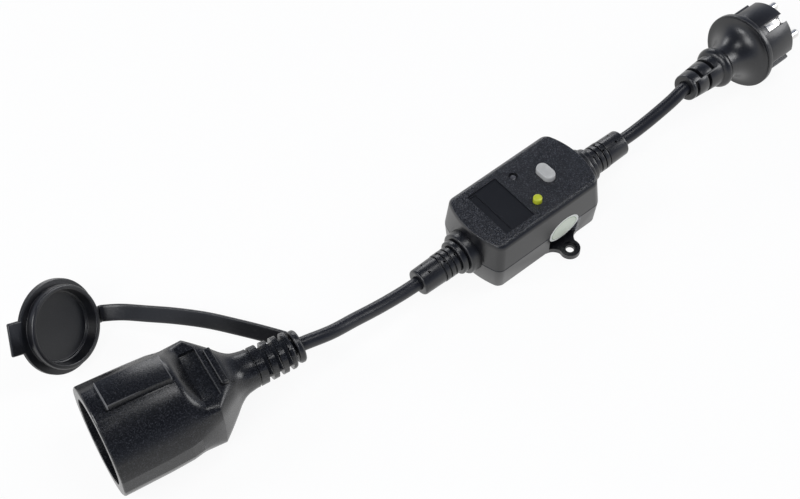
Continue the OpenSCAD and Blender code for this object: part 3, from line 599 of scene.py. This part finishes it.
FACE_L = 21.4
FACE_R = 18.2
PIN_Y = 9.5
PIN_R = 2.4
PIN_END = 40.4
PIN_SIDES = 48
FINE_SIDES = 128


def on_side(side, near, far):
    """The span between two distances from the middle, on the side that the sign gives, its lower end first."""
    return sorted((near * side, far * side))


bell_angles = [math.radians(5 * k) for k in range(19)]
bell = [(-18 + 13.8 * math.sin(t), 9.6 + 10.6 * (1 - math.cos(t))) for t in bell_angles]
ball_angles = [math.radians(12 * k) for k in range(2, 14)]
ball = [(-24 - 3.4 * math.cos(t), 7.9 + 3.4 * math.sin(t)) for t in ball_angles]
tail = softened([(MOUTH_DEPTH - PLUG_TAIL, 0), (MOUTH_DEPTH - PLUG_TAIL, MOUTH_R), (-PLUG_TAIL, MOUTH_R, 0.5),
                 (-PLUG_TAIL, 7.2, 0.9), (-28.2, 8.75, 0.3), (-27.2, 8.8)])
flange = softened([(-4.2, 20.2), (-3.9, 19.9, 0.1), (-3.5, 19.95, 0.1), (-3.3, 21, 0.5), (-0.4, 21, 0.9), (0, 19.6),
                   (0, 13.5), (-5, 13.5), (-5, 0)])
plug_body = turned(tail + ball + [(-20.6, 9.5), (-19.4, 9.45)] + bell + flange, FINE_SIDES)
worked(plug_body, sleeve_slots((-48.2, -38.9), 2.3, 5.2, 11.0, 53.5, 4.6))
eased(plug_body, 0.2, 50)
plug_moulding = handed_in(placed(plug_body, PLUG), "plug_moulding", RUBBER, "lead", "rubber", "plug_body")

plug_face = turned(softened([(-5, 0), (-5, 13.4), (-0.02, 13.4), (0, FACE_R), (FACE_L, FACE_R, 0.7), (FACE_L, 0)]),
                   FINE_SIDES)
cuts = []
for s in (-1, 1):
    for t in (-1, 1):
        (left, right), (low, high) = on_side(s, 16.3, 23), on_side(t, 2.2, 8.5)
        cuts.append(block((1, left, low), (24, right, high)))
    low, high = on_side(s, 15.2, 22)
    cuts.append(block((6, -2.4, low), (24, 2.4, high)))
    low, high = on_side(s, 12.6, 22)
    cuts.append(block((19.8, -2.0, low), (24, 2.0, high)))
for s in (-1, 1):
    bore = turned([(-8, 0), (-8, 2.25), (24, 2.25), (24, 0)], PIN_SIDES)
    cuts.append(placed(bore, spot(0, PIN_Y * s, 0)))
for tool in cuts:
    worked(plug_face, tool)
eased(plug_face, 0.2, 40)
plug_front = handed_in(placed(plug_face, PLUG), "plug_front", RUBBER, "lead", "rubber", "plug_face")

pins = []
for s in (-1, 1):
    pin = turned(softened([(-4.5, 0), (-4.5, 2.2), (FACE_L, 2.2), (FACE_L + 0.02, PIN_R, 0.1), (38.9, PIN_R, 0.6),
                           (PIN_END, 1.5, 1.2), (PIN_END, 0)], 5), PIN_SIDES)
    pins.append(placed(pin, spot(0, PIN_Y * s, 0)))
plug_pins = handed_in(placed(joined(pins), PLUG), "plug_contact_pins", PLATED, "lead", "plated", "plug_pins")

strips = []
for angle in (0, 180):
    strip = block((6.2, -2.2, 15.2), (18.6, 2.2, 16.0), 0.2)
    heel = block((18.2, -2.2, 14.2), (19.3, 2.2, 17.0), 0.35)
    strips.append(placed(worked(strip, heel, "UNION"), turn("X", angle)))
plug_strips = handed_in(placed(joined(strips), PLUG), "plug_earth_contacts", PLATED, "lead", "plated",
                        "plug_earth_strips")


# Coupling: domed front, sunk grips above and below, squared neck and slotted sleeve

def dome_ring(x, w, h, flat, n=96):
    r = (w * w + (h - flat) ** 2) / (2 * (h - flat))
    low = math.atan2(flat - h + r, w)
    arc = [(r * math.cos(a), h - r + r * math.sin(a))
           for a in (low + (math.pi - 2 * low) * i / n for i in range(n + 1))]
    return [(x, y, z) for y, z in arc] + [(x, -y, -z) for y, z in arc]


def neck_ring(x, w, h, flat, power, n=96):
    arc = []
    for i in range(n + 1):
        c, s = math.cos(math.pi * i / n), math.sin(math.pi * i / n)
        arc.append((w * math.copysign(abs(c) ** (2 / power), c), flat + (h - flat) * abs(s) ** (2 / power)))
    return [(x, y, z) for y, z in arc] + [(x, -y, -z) for y, z in arc]


def between(rows, steps):
    """Rows of numbers with smooth rows put between them."""
    ends = [rows[0]] + rows + [rows[-1]]
    out = []
    for a, b, c, d in zip(ends, ends[1:], ends[2:], ends[3:]):
        lean_b = [(q - p) / 2 for p, q in zip(a, c)]
        lean_c = [(q - p) / 2 for p, q in zip(b, d)]
        for k in range(steps):
            t = k / steps
            shares = (2 * t ** 3 - 3 * t ** 2 + 1, t ** 3 - 2 * t ** 2 + t, 3 * t ** 2 - 2 * t ** 3, t ** 3 - t ** 2)
            out.append(tuple(p * shares[0] + u * shares[1] + q * shares[2] + v * shares[3]
                             for p, u, q, v in zip(b, lean_b, c, lean_c)))
    return out + [rows[-1]]


def level(ring, z, soft=2.4):
    """The ring held down to a height above and below, with the edge rounded."""
    out = []
    for x, y, h in ring:
        share = max(0.0, min(1.0, 0.5 + 0.5 * (z - abs(h)) / soft))
        held = z + (abs(h) - z) * share - soft * share * (1 - share)
        out.append((x, y, math.copysign(held, h)))
    return out


def rounded_corner(before, corner, after, steps=5):
    """Rings that turn from one slope into the next without a sharp corner."""
    shares = [k / steps for k in range(steps + 1)]
    return [partway(partway(before, corner, share), partway(corner, after, share), share) for share in shares]


def partway(first, last, share):
    return [tuple(a + (b - a) * share for a, b in zip(p, q)) for p, q in zip(first, last)]


GRIP_Z = 16.5
RIDGE_X, SLOPE_END, GRIP_END = 42.0, 48.6, 53.8
PLATE_PITCH = 2.4
PLATE_SEAT_Z = 27.4
PLATE_EDGE = 0.22
BELT_Y = 25
BELT_LOW, BELT_HIGH = 4, 5.2

# Station, half width, half height and height of the side flat; the neck and sleeve add their squareness
dome_rows = [
    (0, 27.0, 26.6, 4.3), (0.3, 27.5, 27.1, 4.4), (0.8, 27.8, 27.4, 4.4), (12, 27.6, 27.2, 4.5),
    (24, 27.4, 26.9, 4.6), (36, 26.8, 26.3, 4.8), (40, 26.0, 25.8, 4.9), (RIDGE_X, 25.5, 25.5, 5.0)]
neck_rows = between([
    (54.6, 22.4, 20.2, 5, 3.7), (57, 20.7, 18.7, 4.8, 3.5), (60, 18.4, 17.0, 4.4, 3.3), (64, 15.2, 15.0, 3.4, 3.0),
    (68, 12.1, 12.2, 2.2, 2.6), (72, 10.2, 10.5, 1, 2.3), (77, 9.4, 9.4, 0.3, 2.3), (79, 9.25, 9.25, 0.2, 2.4)], 4)
sleeve_rows = [
    (79.3, 8.7, 8.7, 0.2, 2.4), (79.8, 8.7, 8.7, 0.2, 2.4), (80.2, 9.2, 9.2, 0.2, 2.5), (98.8, 8.7, 8.7, 0.2, 2.5),
    (99.6, 8.3, 8.3, 0.2, 2.4), (COUPLING_L, 7.5, 7.5, 0.2, 2.4)]
ridge = dome_ring(*dome_rows[-1])
grip_end = neck_ring(GRIP_END, 22.95, 20.7, 5, 3.7)
slope_end = level(partway(ridge, grip_end, (SLOPE_END - RIDGE_X) / (GRIP_END - RIDGE_X)), GRIP_Z)
coupling = lofted([dome_ring(*row) for row in dome_rows[:-2]]
                  + rounded_corner(dome_ring(*dome_rows[-2]), ridge, partway(ridge, slope_end, 0.25))
                  + [partway(ridge, slope_end, share) for share in (0.5, 0.75, 1.0)] + [level(grip_end, GRIP_Z)]
                  + [level(neck_ring(*row), GRIP_Z) for row in neck_rows + sleeve_rows])
rib = block((RIB_FRONT, -RIB_HALF, 12), (63.6, RIB_HALF, 17.5), 0.9, 3)
worked(coupling, rib, "UNION")
plate = block((PLATE_FRONT, -PLATE_HALF, 20), (PLATE_BACK, PLATE_HALF, 29.9), PLATE_EDGE, 2)
plate = placed(plate, turn("X", -PLATE_ROLL) @ spot(PLATE_FRONT, 0, PLATE_SEAT_Z) @ turn("Y", PLATE_PITCH)
               @ spot(-PLATE_FRONT, 0, -PLATE_SEAT_Z))
step = placed(block((6.7, -7.6, 20), (9, 7.6, 28.6), PLATE_EDGE, 2), turn("X", -PLATE_ROLL))
worked(coupling, plate, "UNION")
worked(coupling, step, "UNION")
worked(coupling, block((SLOT_FRONT, SLOT_LEFT, 14.2), (SLOT_BACK, SLOT_RIGHT, 24), 0.4))
well = softened([(-2, 0), (-2, 21.9), (0.5, 21.6, 0.2), (40, 21.6), (40, 16.1), (45, 16.1), (45, 0)])
worked(coupling, turned(well, FINE_SIDES))
mouth_floor, mouth_out = COUPLING_L - MOUTH_DEPTH, COUPLING_L + 2
worked(coupling, turned([(mouth_floor, 0), (mouth_floor, MOUTH_R), (mouth_out, MOUTH_R), (mouth_out, 0)], 48))
worked(coupling, sleeve_slots((84.1, 89.5, 94.8), 2.5, 6.4, 11.8, 37))
eased(coupling, 0.6, 28, 3)


def on_belt(vertex):
    """Whether a point is on an edge of the flat belt along the dome's sides."""
    x, y, z = vertex.co
    return x < RIDGE_X * MM and abs(y) > BELT_Y * MM and BELT_LOW * MM < abs(z) < BELT_HIGH * MM


belt = [edge.index for edge in coupling.data.edges
        if all(on_belt(coupling.data.vertices[v]) for v in edge.vertices)]
coupling_shell = handed_in(placed(coupling, COUPLING), "coupling_shell", GRIP, "lead", "rubber", "coupling_body",
                           smooth=24)
for edge in belt:
    coupling_shell.data.edges[edge].use_edge_sharp = True


# Cap: finely ribbed flange, lip and cup, with its pull tab and the stub of the strap

RIM_RIBS = 4
RIM_PITCH = 0.55
RIM_R, RIM_GROOVE_R = 23.6, 23.35

rim = []
for k in range(RIM_RIBS):
    at = -2.3 + k * RIM_PITCH
    rim += [(at, RIM_R), (at + 0.3, RIM_R), (at + 0.38, RIM_GROOVE_R), (at + 0.5, RIM_GROOVE_R)]
back = softened([(-2.6, 0), (-2.6, 22.9, 0.4)])
cup = softened([(-0.1, 23.4), (0, 23.0, 0.2), (0, 19.9, 0.3), (1.0, 19.9, 0.4), (2.2, 20.8, 0.6), (5.6, 20.7, 0.9),
                (5.6, 18.4, 0.6), (-0.4, 17.6, 0.3), (-0.5, 16.9, 0.3), (-1.3, 16.7, 0.3), (-1.3, 0)])
cap = turned(back + rim + cup, FINE_SIDES)
placed(cap, turn("Y", -90))
tab = block((-29.6, -8.2, -2.0), (-21, 8.2, -0.1), 0.8, 3)
stub = block((21, -4.3, -2.0), (25.4, 4.3, -0.15), 0.5, 2)
worked(cap, tab, "UNION")
worked(cap, stub, "UNION")
handed_in(placed(cap, CAP), "cap_moulding", RUBBER, "cap", "rubber", "sealing_cap")


# Strap: one flat rubber band in two lengths, from the cap to the eyelet

STRAP_HALF_W, STRAP_HALF_T = 4.25, 0.95
STRAP_SIDES = 20
STRAP_STEPS = 8
STUB_END = 25.5
STUB_Z = -1.1
EYELET_X = 103
EAR_TILT = -45
BEND_REACH = 7

# The two hinges, where the record has them, in metres
CAP_HINGE = Vector((-0.200328, 0.091857, 0.008359))
SWING_HINGE = Vector((-0.142080, 0.009834, 0.020976))


def strap_rings(points, sides, first, last):
    """Oblong rings with rounded edges along a stretch of a route."""
    rings = []
    for i in range(first, last + 1):
        ahead = (points[min(i + 1, len(points) - 1)] - points[max(i - 1, 0)]).normalized()
        side = (sides[i] - ahead * sides[i].dot(ahead)).normalized()
        up = ahead.cross(side)
        ring = []
        for k in range(STRAP_SIDES):
            a = math.tau * (k + 0.5) / STRAP_SIDES
            c, s = math.cos(a), math.sin(a)
            w = math.copysign(abs(c) ** 0.28, c) * STRAP_HALF_W
            t = math.copysign(abs(s) ** 0.45, s) * STRAP_HALF_T
            ring.append(points[i] / MM + side * w + up * t)
        rings.append(ring)
    return rings


cap_turn = CAP.to_3x3()
coupling_turn = COUPLING.to_3x3()
tilt = math.radians(EAR_TILT)
eyelet_way = coupling_turn @ Vector((0, math.cos(tilt), math.sin(tilt)))
eyelet_wide = coupling_turn @ Vector((0, -math.sin(tilt), math.cos(tilt)))
eyelet_at = COUPLING @ Vector((EYELET_X * MM, 0, 0))
strap_end = eyelet_at + eyelet_way * (9.8 * MM)
strap_points = smooth_route(
    [CAP @ Vector((STUB_END * MM, 0, STUB_Z * MM)), CAP @ Vector((28.2 * MM, 0, STUB_Z * MM))]
    + millimetres((-190.5, 86, 7.6), (-182, 76, 9.4), (-172.5, 64, 12), (-163, 50.5, 14.6), (-154.5, 36, 17),
                  (-147, 23, 18.6), (-141.5, 13, 19.4))
    + [strap_end + eyelet_way * (3 * MM), strap_end - eyelet_way * (0.4 * MM)], STRAP_STEPS)
cap_wide = cap_turn @ Vector((0, 1, 0))
strap_last = len(strap_points) - 1
strap_middle = len(strap_points) // 2
strap_sides = [cap_wide.lerp(eyelet_wide, i / strap_last) for i in range(len(strap_points))]


def strap_length(name, first, last):
    band = lofted(strap_rings(strap_points, strap_sides, first, last))
    return handed_in(band, name, RUBBER, None, "rubber", "cap_strap", smooth=50)


band = strap_length("strap_cap_length", 0, strap_middle)
reach = cap_turn @ Vector((1, 0, 0)) * (BEND_REACH * MM)
tuple(CAP_HINGE - reach)
tuple(CAP_HINGE + reach)
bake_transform(band)
band = strap_length("strap_eyelet_length", strap_middle, strap_last)
reach = eyelet_way * (BEND_REACH * MM)
tuple(SWING_HINGE + reach)
tuple(SWING_HINGE - reach)
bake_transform(band)

eyelet = turned(softened([
    (-1.2, 3.9), (-1.7, 4.3, 0.4), (-1.7, 7.6, 0.7), (-0.8, 8.3, 0.5), (0.8, 8.3, 0.5), (1.7, 7.6, 0.7),
    (1.7, 4.3, 0.4), (1.2, 3.9), (-1.2, 3.9)]), 64)
ear = placed(block((-0.95, 5.5, -4.25), (0.95, 9.5, 4.25), 0.5, 3), turn("X", EAR_TILT))
worked(eyelet, ear, "UNION")
handed_in(placed(eyelet, COUPLING @ spot(EYELET_X, 0, 0)), "strap_ring", RUBBER, "eyelet", "rubber", "strap_eyelet")


# Box shells: drafted walls with bowed ends, in two halves

# Places seen from above
RESET = (15.5, 0.5)
TEST = (0.8, -9.5)
LAMP = (1.8, 9.8)
LUG = (9.8, -27.05)
SCREW = (28.3, 15.5)

PART_GAP = 0.05
SHELL_EDGE, SHELL_EDGE_ANGLE = 0.28, 38
OVER_BOX = 40


def plan_ring(z, length, width, corner, bow=3.0):
    half = width / 2 - corner
    big = (bow ** 2 + half ** 2) / (2 * bow)
    phi = math.asin(half / big)
    arcs = [((length / 2 - corner, -half), corner, -math.pi / 2, -phi, 10),
            ((length / 2 + bow - corner - big, 0), big + corner, -phi, phi, 24),
            ((length / 2 - corner, half), corner, phi, math.pi / 2, 10)]
    right = [(c[0] + r * math.cos(a + (b - a) * i / n), c[1] + r * math.sin(a + (b - a) * i / n))
             for c, r, a, b, n in arcs for i in range(n + 1)]
    right = [p for i, p in enumerate(right) if i == 0 or (Vector(p) - Vector(right[i - 1])).length > 1e-6]
    return [(x, y, z) for x, y in right] + [(-x, -y, z) for x, y in right]


def upright(profile, x, y, sides=64):
    """Lathe work about an upright axis, from a line of (height, radius)."""
    return placed(turned(profile, sides), spot(x, y, 0) @ turn("Y", -90))


def round_tool(x, y, low, high, r, sides=64):
    return upright([(low, 0), (low, r), (high, r), (high, 0)], x, y, sides)


def stepped_tool(x, y, low, step, high, r_low, r_high):
    return upright([(low, 0), (low, r_low), (step, r_low), (step, r_high), (high, r_high), (high, 0)], x, y)


def oblong_ring(z, length, width, cx, cy, n=16):
    """Ring of a long round outline, its length across the box."""
    reach = (length - width) / 2
    ring = []
    for side, start in ((1, 0), (-1, math.pi)):
        for i in range(n + 1):
            a = math.pi * i / n + start
            ring.append((cx + width / 2 * math.cos(a), cy + side * reach + width / 2 * math.sin(a), z))
    return ring


def plan_loft(*rows):
    """A solid through outlines of the box, each a height, a length, a width and a corner radius."""
    return lofted([plan_ring(*row) for row in rows])


def add_seats(shell, low_z, high_z):
    """Thickens a shell behind its glands, outside a span of heights that the other shell fills."""
    for place in (LOAD_GLAND, SUPPLY_GLAND):
        pad = placed(turned([(-3.4, 0), (-3.4, 13), (0.6, 13), (0.6, 0)], 64), place)
        worked(shell, worked(pad, block((-60, -40, low_z), (60, 40, high_z))), "UNION")


def bore_seats(shell):
    """Cuts the round seats that the two glands sit in."""
    for place in (LOAD_GLAND, SUPPLY_GLAND):
        worked(shell, placed(turned([(-5, 0), (-5, 6.6), (0, 6.6), (0, 11.6), (9, 11.6), (9, 0)], 96), place))


round_angles = [math.radians(10 * k) for k in range(10)]
upper = plan_loft((PART_Z + PART_GAP, 71.5, 43.4, 4.8), (15.35, 71.95, 43.85, 5), *[
    (30 + 3 * math.sin(a), 69.6 - 1.6 * (1 - math.cos(a)), 41.5 - 6 * (1 - math.cos(a)), 5 - 1.5 * (1 - math.cos(a)))
    for a in round_angles])
worked(upper, plan_loft((14, 68, 39.9, 3), (30, 65.6, 37.5, 3), (31, 64.6, 35.5, 3)))
add_seats(upper, 0, PART_Z + PART_GAP)
bore_seats(upper)
worked(upper, lofted([oblong_ring(z, 12.0, 7.5, *RESET) for z in (25, OVER_BOX)]))
worked(upper, round_tool(*TEST, 25, OVER_BOX, 2.65))
worked(upper, round_tool(*LAMP, 25, OVER_BOX, 1.86))
worked(upper, round_tool(*LAMP, 32.2, OVER_BOX, 2.45))
worked(upper, block((-24.8, -14.8, 32.55), (-6.2, 14.8, 36)))
worked(upper, block((-24.2, -13.6, 32.2), (-20.6, 13.6, 36)))
eased(upper, SHELL_EDGE, SHELL_EDGE_ANGLE)
handed_in(upper, "box_top", SHELL, "lead", "shell_plastic", "upper_shell")

lower = plan_loft((0, 68.8, 40.7, 4), (0.3, 69.4, 41.3, 4.3), (1, 70, 41.9, 4.6), (14.65, 71.95, 43.85, 5),
                  (PART_Z - PART_GAP, 71.5, 43.4, 4.8))
worked(lower, plan_loft((2, 66, 37.9, 3), (16, 68, 39.9, 3)))

# The wall is thick behind the hollow above the lug
backing = round_tool(*LUG, 0.5, 14, 13, 96)
worked(backing, plan_loft((0.6, 69.6, 41.5, 4.6), (14, 71.4, 43.3, 4.8)), "INTERSECT")
worked(lower, backing, "UNION")
add_seats(lower, PART_Z - PART_GAP, OVER_BOX)

# Lug: an eye on a waisted web, its hole stepped for the screw's head
eye = round_tool(*LUG, 0.03, 2.96, 5.4, 96)
web = block((LUG[0] - 10.6, LUG[1], 0.04), (LUG[0] + 10.6, LUG[1] + 7.4, 2.94))
for s in (-1, 1):
    worked(web, round_tool(LUG[0] + s * 11.3, LUG[1], -1, 4, 6.4))
worked(eye, web, "UNION")
worked(eye, stepped_tool(*LUG, -1, 1.9, 6, 2.2, 3.8))
worked(lower, eye, "UNION")
bore_seats(lower)
worked(lower, round_tool(*LUG, 3, 12, 11, FINE_SIDES))
for sx in (-1, 1):
    for sy in (-1, 1):
        worked(lower, stepped_tool(SCREW[0] * sx, SCREW[1] * sy, -1, 2.5, 6, 3.0, 1.5))
eased(lower, SHELL_EDGE, SHELL_EDGE_ANGLE)
handed_in(lower, "box_base", SHELL_BASE, "lead", "shell_plastic", "lower_shell")


# Buttons and lens

RESET_SLIM = 4.5

reset = lofted([oblong_ring(z, length, length - RESET_SLIM, *RESET) for z, length in (
    (29.6, 13.5), (30.8, 13.5), (30.8, 11.5), (34.9, 11.4), (35.4, 11.2), (35.7, 10.8), (35.8, 10.2), (35.76, 9.6),
    (35.5, 8.2), (35.4, 6.6))])
worked(reset, round_tool(*RESET, 19.4, 30, 1.8, 40), "UNION")
handed_in(reset, "reset_key", PALE, "reset", "pale_plastic", "reset_button", smooth=40)

test = upright(softened([
    (16.2, 0), (16.2, 1.2), (29.6, 1.2), (29.6, 3.4), (30.8, 3.4), (30.8, 2.4), (35.3, 2.36, 0.3), (35.8, 1.9, 0.3),
    (35.6, 1.3, 0.3), (35.55, 0)]), *TEST)
handed_in(test, "test_key", YELLOW, "test", "yellow_plastic", "test_button", smooth=40)

lens = upright(softened([
    (27, 0), (27, 1.8), (30, 1.8), (30, 2.6), (31, 2.6), (31, 1.8), (31.9, 1.8, 0.2), (32.3, 1.5, 0.4), (32.5, 0.6),
    (32.52, 0)]), *LAMP, 48)
handed_in(lens, "lamp_lens", LENS, "lead", "lens", "indicator_lens", smooth=40)


# Springs under the two buttons, wound from wire

def wound_spring(node, turns, wire_r, steps=18, sides=8):
    """A coil as tall and as wide as the solid it stands for."""
    corners = [NODES[node].matrix_world @ Vector(c) / MM for c in NODES[node].bound_box]
    low = Vector([min(c[k] for c in corners) for k in range(3)])
    high = Vector([max(c[k] for c in corners) for k in range(3)])
    middle_x, middle_y = (low.x + high.x) / 2, (low.y + high.y) / 2
    mean_r = (high.x - low.x) / 2 - wire_r
    rings = []
    for i in range(turns * steps + 1):
        a = math.tau * i / steps
        rise = min(1.0, max(0.0, (i / steps - 1) / (turns - 2)))
        z = low.z + wire_r + (high.z - low.z - 2 * wire_r) * rise
        rings.append([(middle_x + (mean_r + wire_r * math.cos(b)) * math.cos(a),
                       middle_y + (mean_r + wire_r * math.cos(b)) * math.sin(a),
                       z + wire_r * math.sin(b)) for b in (math.tau * k / sides for k in range(sides))])
    return lofted(rings), low, high


for node, body, turns, wire_r in (("reset_spring", "reset", 8, 0.36), ("test_spring", "test", 8, 0.3)):
    spring, low, high = wound_spring(node, turns, wire_r)
    handed_in(spring, node + "_wire", STEEL, None, "steel", node, smooth=60)
    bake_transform(spring)


# Bare oval sticker across the parting line, bent with the wall

STICKER = Vector((9.2, 15.0))
STICKER_HALF = (9.9, 6.8)
STICKER_TILT = math.radians(9)
STICKER_LIFT = 0.05
STICKER_THICK = 0.14
WALL_W = 43.9


def wall_y(z):
    """Where the long wall stands at a height: it leans in above and below the parting line."""
    lean = 1.2 * (z - PART_Z) / 15 if z > PART_Z else (PART_Z - z) / 14
    return lean - WALL_W / 2


def sticker_finish():
    """White paper with a thin green ring, its middle left bare."""
    net = Net("bare_sticker")
    x, _, z = net.axes()
    along = (x - STICKER.x) * math.cos(STICKER_TILT) + (z - STICKER.y) * math.sin(STICKER_TILT)
    across = (z - STICKER.y) * math.cos(STICKER_TILT) - (x - STICKER.x) * math.sin(STICKER_TILT)
    reach = (along / STICKER_HALF[0]) ** 2 + (across / STICKER_HALF[1]) ** 2
    ring = within(reach, 0.66, 0.74)
    inside = (reach < 0.70) * 0.4
    paper = net.blend(net.noise(500, 3.0, 0.6), (0.72, 0.73, 0.68, 1), (0.64, 0.65, 0.60, 1))
    tinted = net.blend(inside, paper, (0.52, 0.60, 0.40, 1))
    net.set(base_color=net.blend(ring * 0.7, tinted, (0.16, 0.26, 0.10, 1)),
            roughness=0.42 + net.noise(900) * 0.15, normal=net.bump(net.noise(1400), 0.1, 0.00008))
    return net.material


bpy.ops.object.select_all(action="DESELECT")
bpy.ops.mesh.primitive_circle_add(vertices=96, radius=MM, fill_type="NGON")
sticker = bpy.context.object
bpy.ops.object.mode_set(mode="EDIT")
bpy.ops.transform.rotate(value=math.pi / 2, orient_axis="X", center_override=(0, 0, 0))
bpy.ops.transform.resize(value=(STICKER_HALF[0], 1, STICKER_HALF[1]))
bpy.ops.object.mode_set(mode="OBJECT")
placed(sticker, spot(STICKER.x, 0, STICKER.y) @ turn("Y", -math.degrees(STICKER_TILT)))
bpy.ops.object.mode_set(mode="EDIT")
bpy.ops.mesh.select_all(action="SELECT")
bpy.ops.mesh.bisect(plane_co=(0, 0, PART_Z * MM), plane_no=(0, 0, 1))
bpy.ops.object.mode_set(mode="OBJECT")
for vertex in sticker.data.vertices:
    vertex.co.y = (wall_y(vertex.co.z / MM) - STICKER_LIFT) * MM
outward = -1 if sticker.data.polygons[0].normal.y > 0 else 1
finish_modifier(sticker, "SOLIDIFY", thickness=STICKER_THICK * MM, offset=outward)
handed_in(sticker, "oval_sticker", sticker_finish(), "lead", "pale_plastic")


# Lengths of the two cord routes

route_length(load_points)
route_length(supply_points)


# Floor, light and camera

def floor_finish():
    """Pale paper that glows to the camera and in reflections, so that only soft shadows show on it."""
    net = Net("pale_floor")
    rays = net.add("ShaderNodeLightPath", out="Is Camera Ray")
    glossy = net.add("ShaderNodeLightPath", out="Is Glossy Ray")
    net.set(base_color=net.blend(net.noise(3, 2.0), (0.86, 0.86, 0.86, 1), (0.9, 0.9, 0.9, 1)))
    net.surface.inputs["Roughness"].default_value = 0.9
    net.surface.inputs["Specular IOR Level"].default_value = 0.1
    glow = net.add("ShaderNodeEmission", {}, {"Color": (1, 1, 1, 1), "Strength": 1.0})
    paper = Wire(net, net.surface.outputs[0])
    seen = net.add("ShaderNodeMixShader", {}, {0: rays * 0.92 + glossy, 1: paper, 2: glow})
    net.feed(net.tree.nodes["Material Output"].inputs["Surface"], seen)
    return net.material


FLOOR_SIZE = 9
FLOOR_Z = -0.0002

bpy.ops.object.select_all(action="DESELECT")
bpy.ops.mesh.primitive_plane_add(size=FLOOR_SIZE, location=(0, 0, FLOOR_Z))
floor = bpy.context.object
floor.name = "floor"
floor.data.materials.append(floor_finish())


def studio_light():
    """A white sweep: bright along the horizon and dim overhead, and plain white to the camera."""
    world = bpy.data.worlds[0] if bpy.data.worlds else bpy.data.worlds.new("studio")
    bpy.context.scene.world = world
    world.use_nodes = True
    tree = world.node_tree

    def node(kind, links, **settings):
        made = tree.nodes.new(kind)
        for key, value in settings.items():
            setattr(made, key, value)
        for key, value in links.items():
            if isinstance(value, bpy.types.NodeSocket):
                tree.links.new(value, made.inputs[key])
            else:
                made.inputs[key].default_value = value
        return made

    way = node("ShaderNodeSeparateXYZ", {0: node("ShaderNodeTexCoord", {}).outputs["Generated"]})
    low = node("ShaderNodeMath", {0: 1.0, 1: way.outputs[2]}, operation="SUBTRACT", use_clamp=True)
    fall = node("ShaderNodeMath", {0: low.outputs[0], 1: 3.0}, operation="POWER")
    level_of_light = node("ShaderNodeMath", {0: fall.outputs[0], 1: 0.85, 2: 0.14}, operation="MULTIPLY_ADD")
    tint = node("ShaderNodeMix", {0: fall.outputs[0], 6: (0.8, 0.92, 1.25, 1), 7: (1, 1, 1, 1)}, data_type="RGBA")
    sky = tree.nodes["Background"]
    tree.links.new(tint.outputs[2], sky.inputs["Color"])
    tree.links.new(level_of_light.outputs[0], sky.inputs["Strength"])
    white = node("ShaderNodeBackground", {"Color": (1, 1, 1, 1), "Strength": 1.0})
    seen = node("ShaderNodeLightPath", {})
    mixed = node("ShaderNodeMixShader", {0: seen.outputs["Is Camera Ray"], 1: sky.outputs[0], 2: white.outputs[0]})
    tree.links.new(mixed.outputs[0], tree.nodes["World Output"].inputs["Surface"])


studio_light()


def soft_lamp(name, place, aim, size, watts):
    data = bpy.data.lights.new(name, "AREA")
    data.shape = "RECTANGLE"
    data.size, data.size_y = size
    data.energy = watts
    lamp = bpy.data.objects.new(name, data)
    bpy.context.collection.objects.link(lamp)
    lamp.location = place
    lamp.rotation_euler = (Vector(aim) - Vector(place)).to_track_quat("-Z", "Y").to_euler()


AIM = (-0.04, 0.02, 0.0)
soft_lamp("top_lamp", (0.30, -0.05, 1.4), AIM, (0.4, 0.4), 3)
soft_lamp("back_lamp", (0.55, 1.15, 0.55), AIM, (0.6, 0.3), 3)
soft_lamp("right_lamp", (1.1, -0.46, 0.62), AIM, (0.6, 0.5), 6)
soft_lamp("left_lamp", (-1.0, 0.5, 0.8), AIM, (0.35, 0.3), 4)
soft_lamp("front_lamp", (-0.95, -0.3, 1.15), AIM, (0.7, 0.7), 9)

# Camera as it stood when the photograph was taken: its focal length in pixels, its place and its three axes
SENSOR_W = 36
PICTURE_W = 800
FOCAL_PIXELS = 1671.14
CAMERA_AT = (-0.373706, -0.356938, 0.704867)
CAMERA_RIGHT = (0.767229, -0.641336, -0.006971)
CAMERA_UP = (0.526086, 0.623065, 0.578812)
CAMERA_BACK = (-0.366870, -0.447749, 0.815431)

camera_data = bpy.data.cameras.new("camera")
camera_data.sensor_width = SENSOR_W
camera_data.lens = FOCAL_PIXELS * SENSOR_W / PICTURE_W
camera = bpy.data.objects.new("camera", camera_data)
bpy.context.collection.objects.link(camera)
camera.matrix_world = Matrix((
    (*CAMERA_RIGHT, 0), (*CAMERA_UP, 0), (*CAMERA_BACK, 0), (*CAMERA_AT, 1))).transposed()
camera_data.clip_start = 0.01
bpy.context.scene.camera = camera
bpy.context.scene.view_settings.view_transform = "Standard"
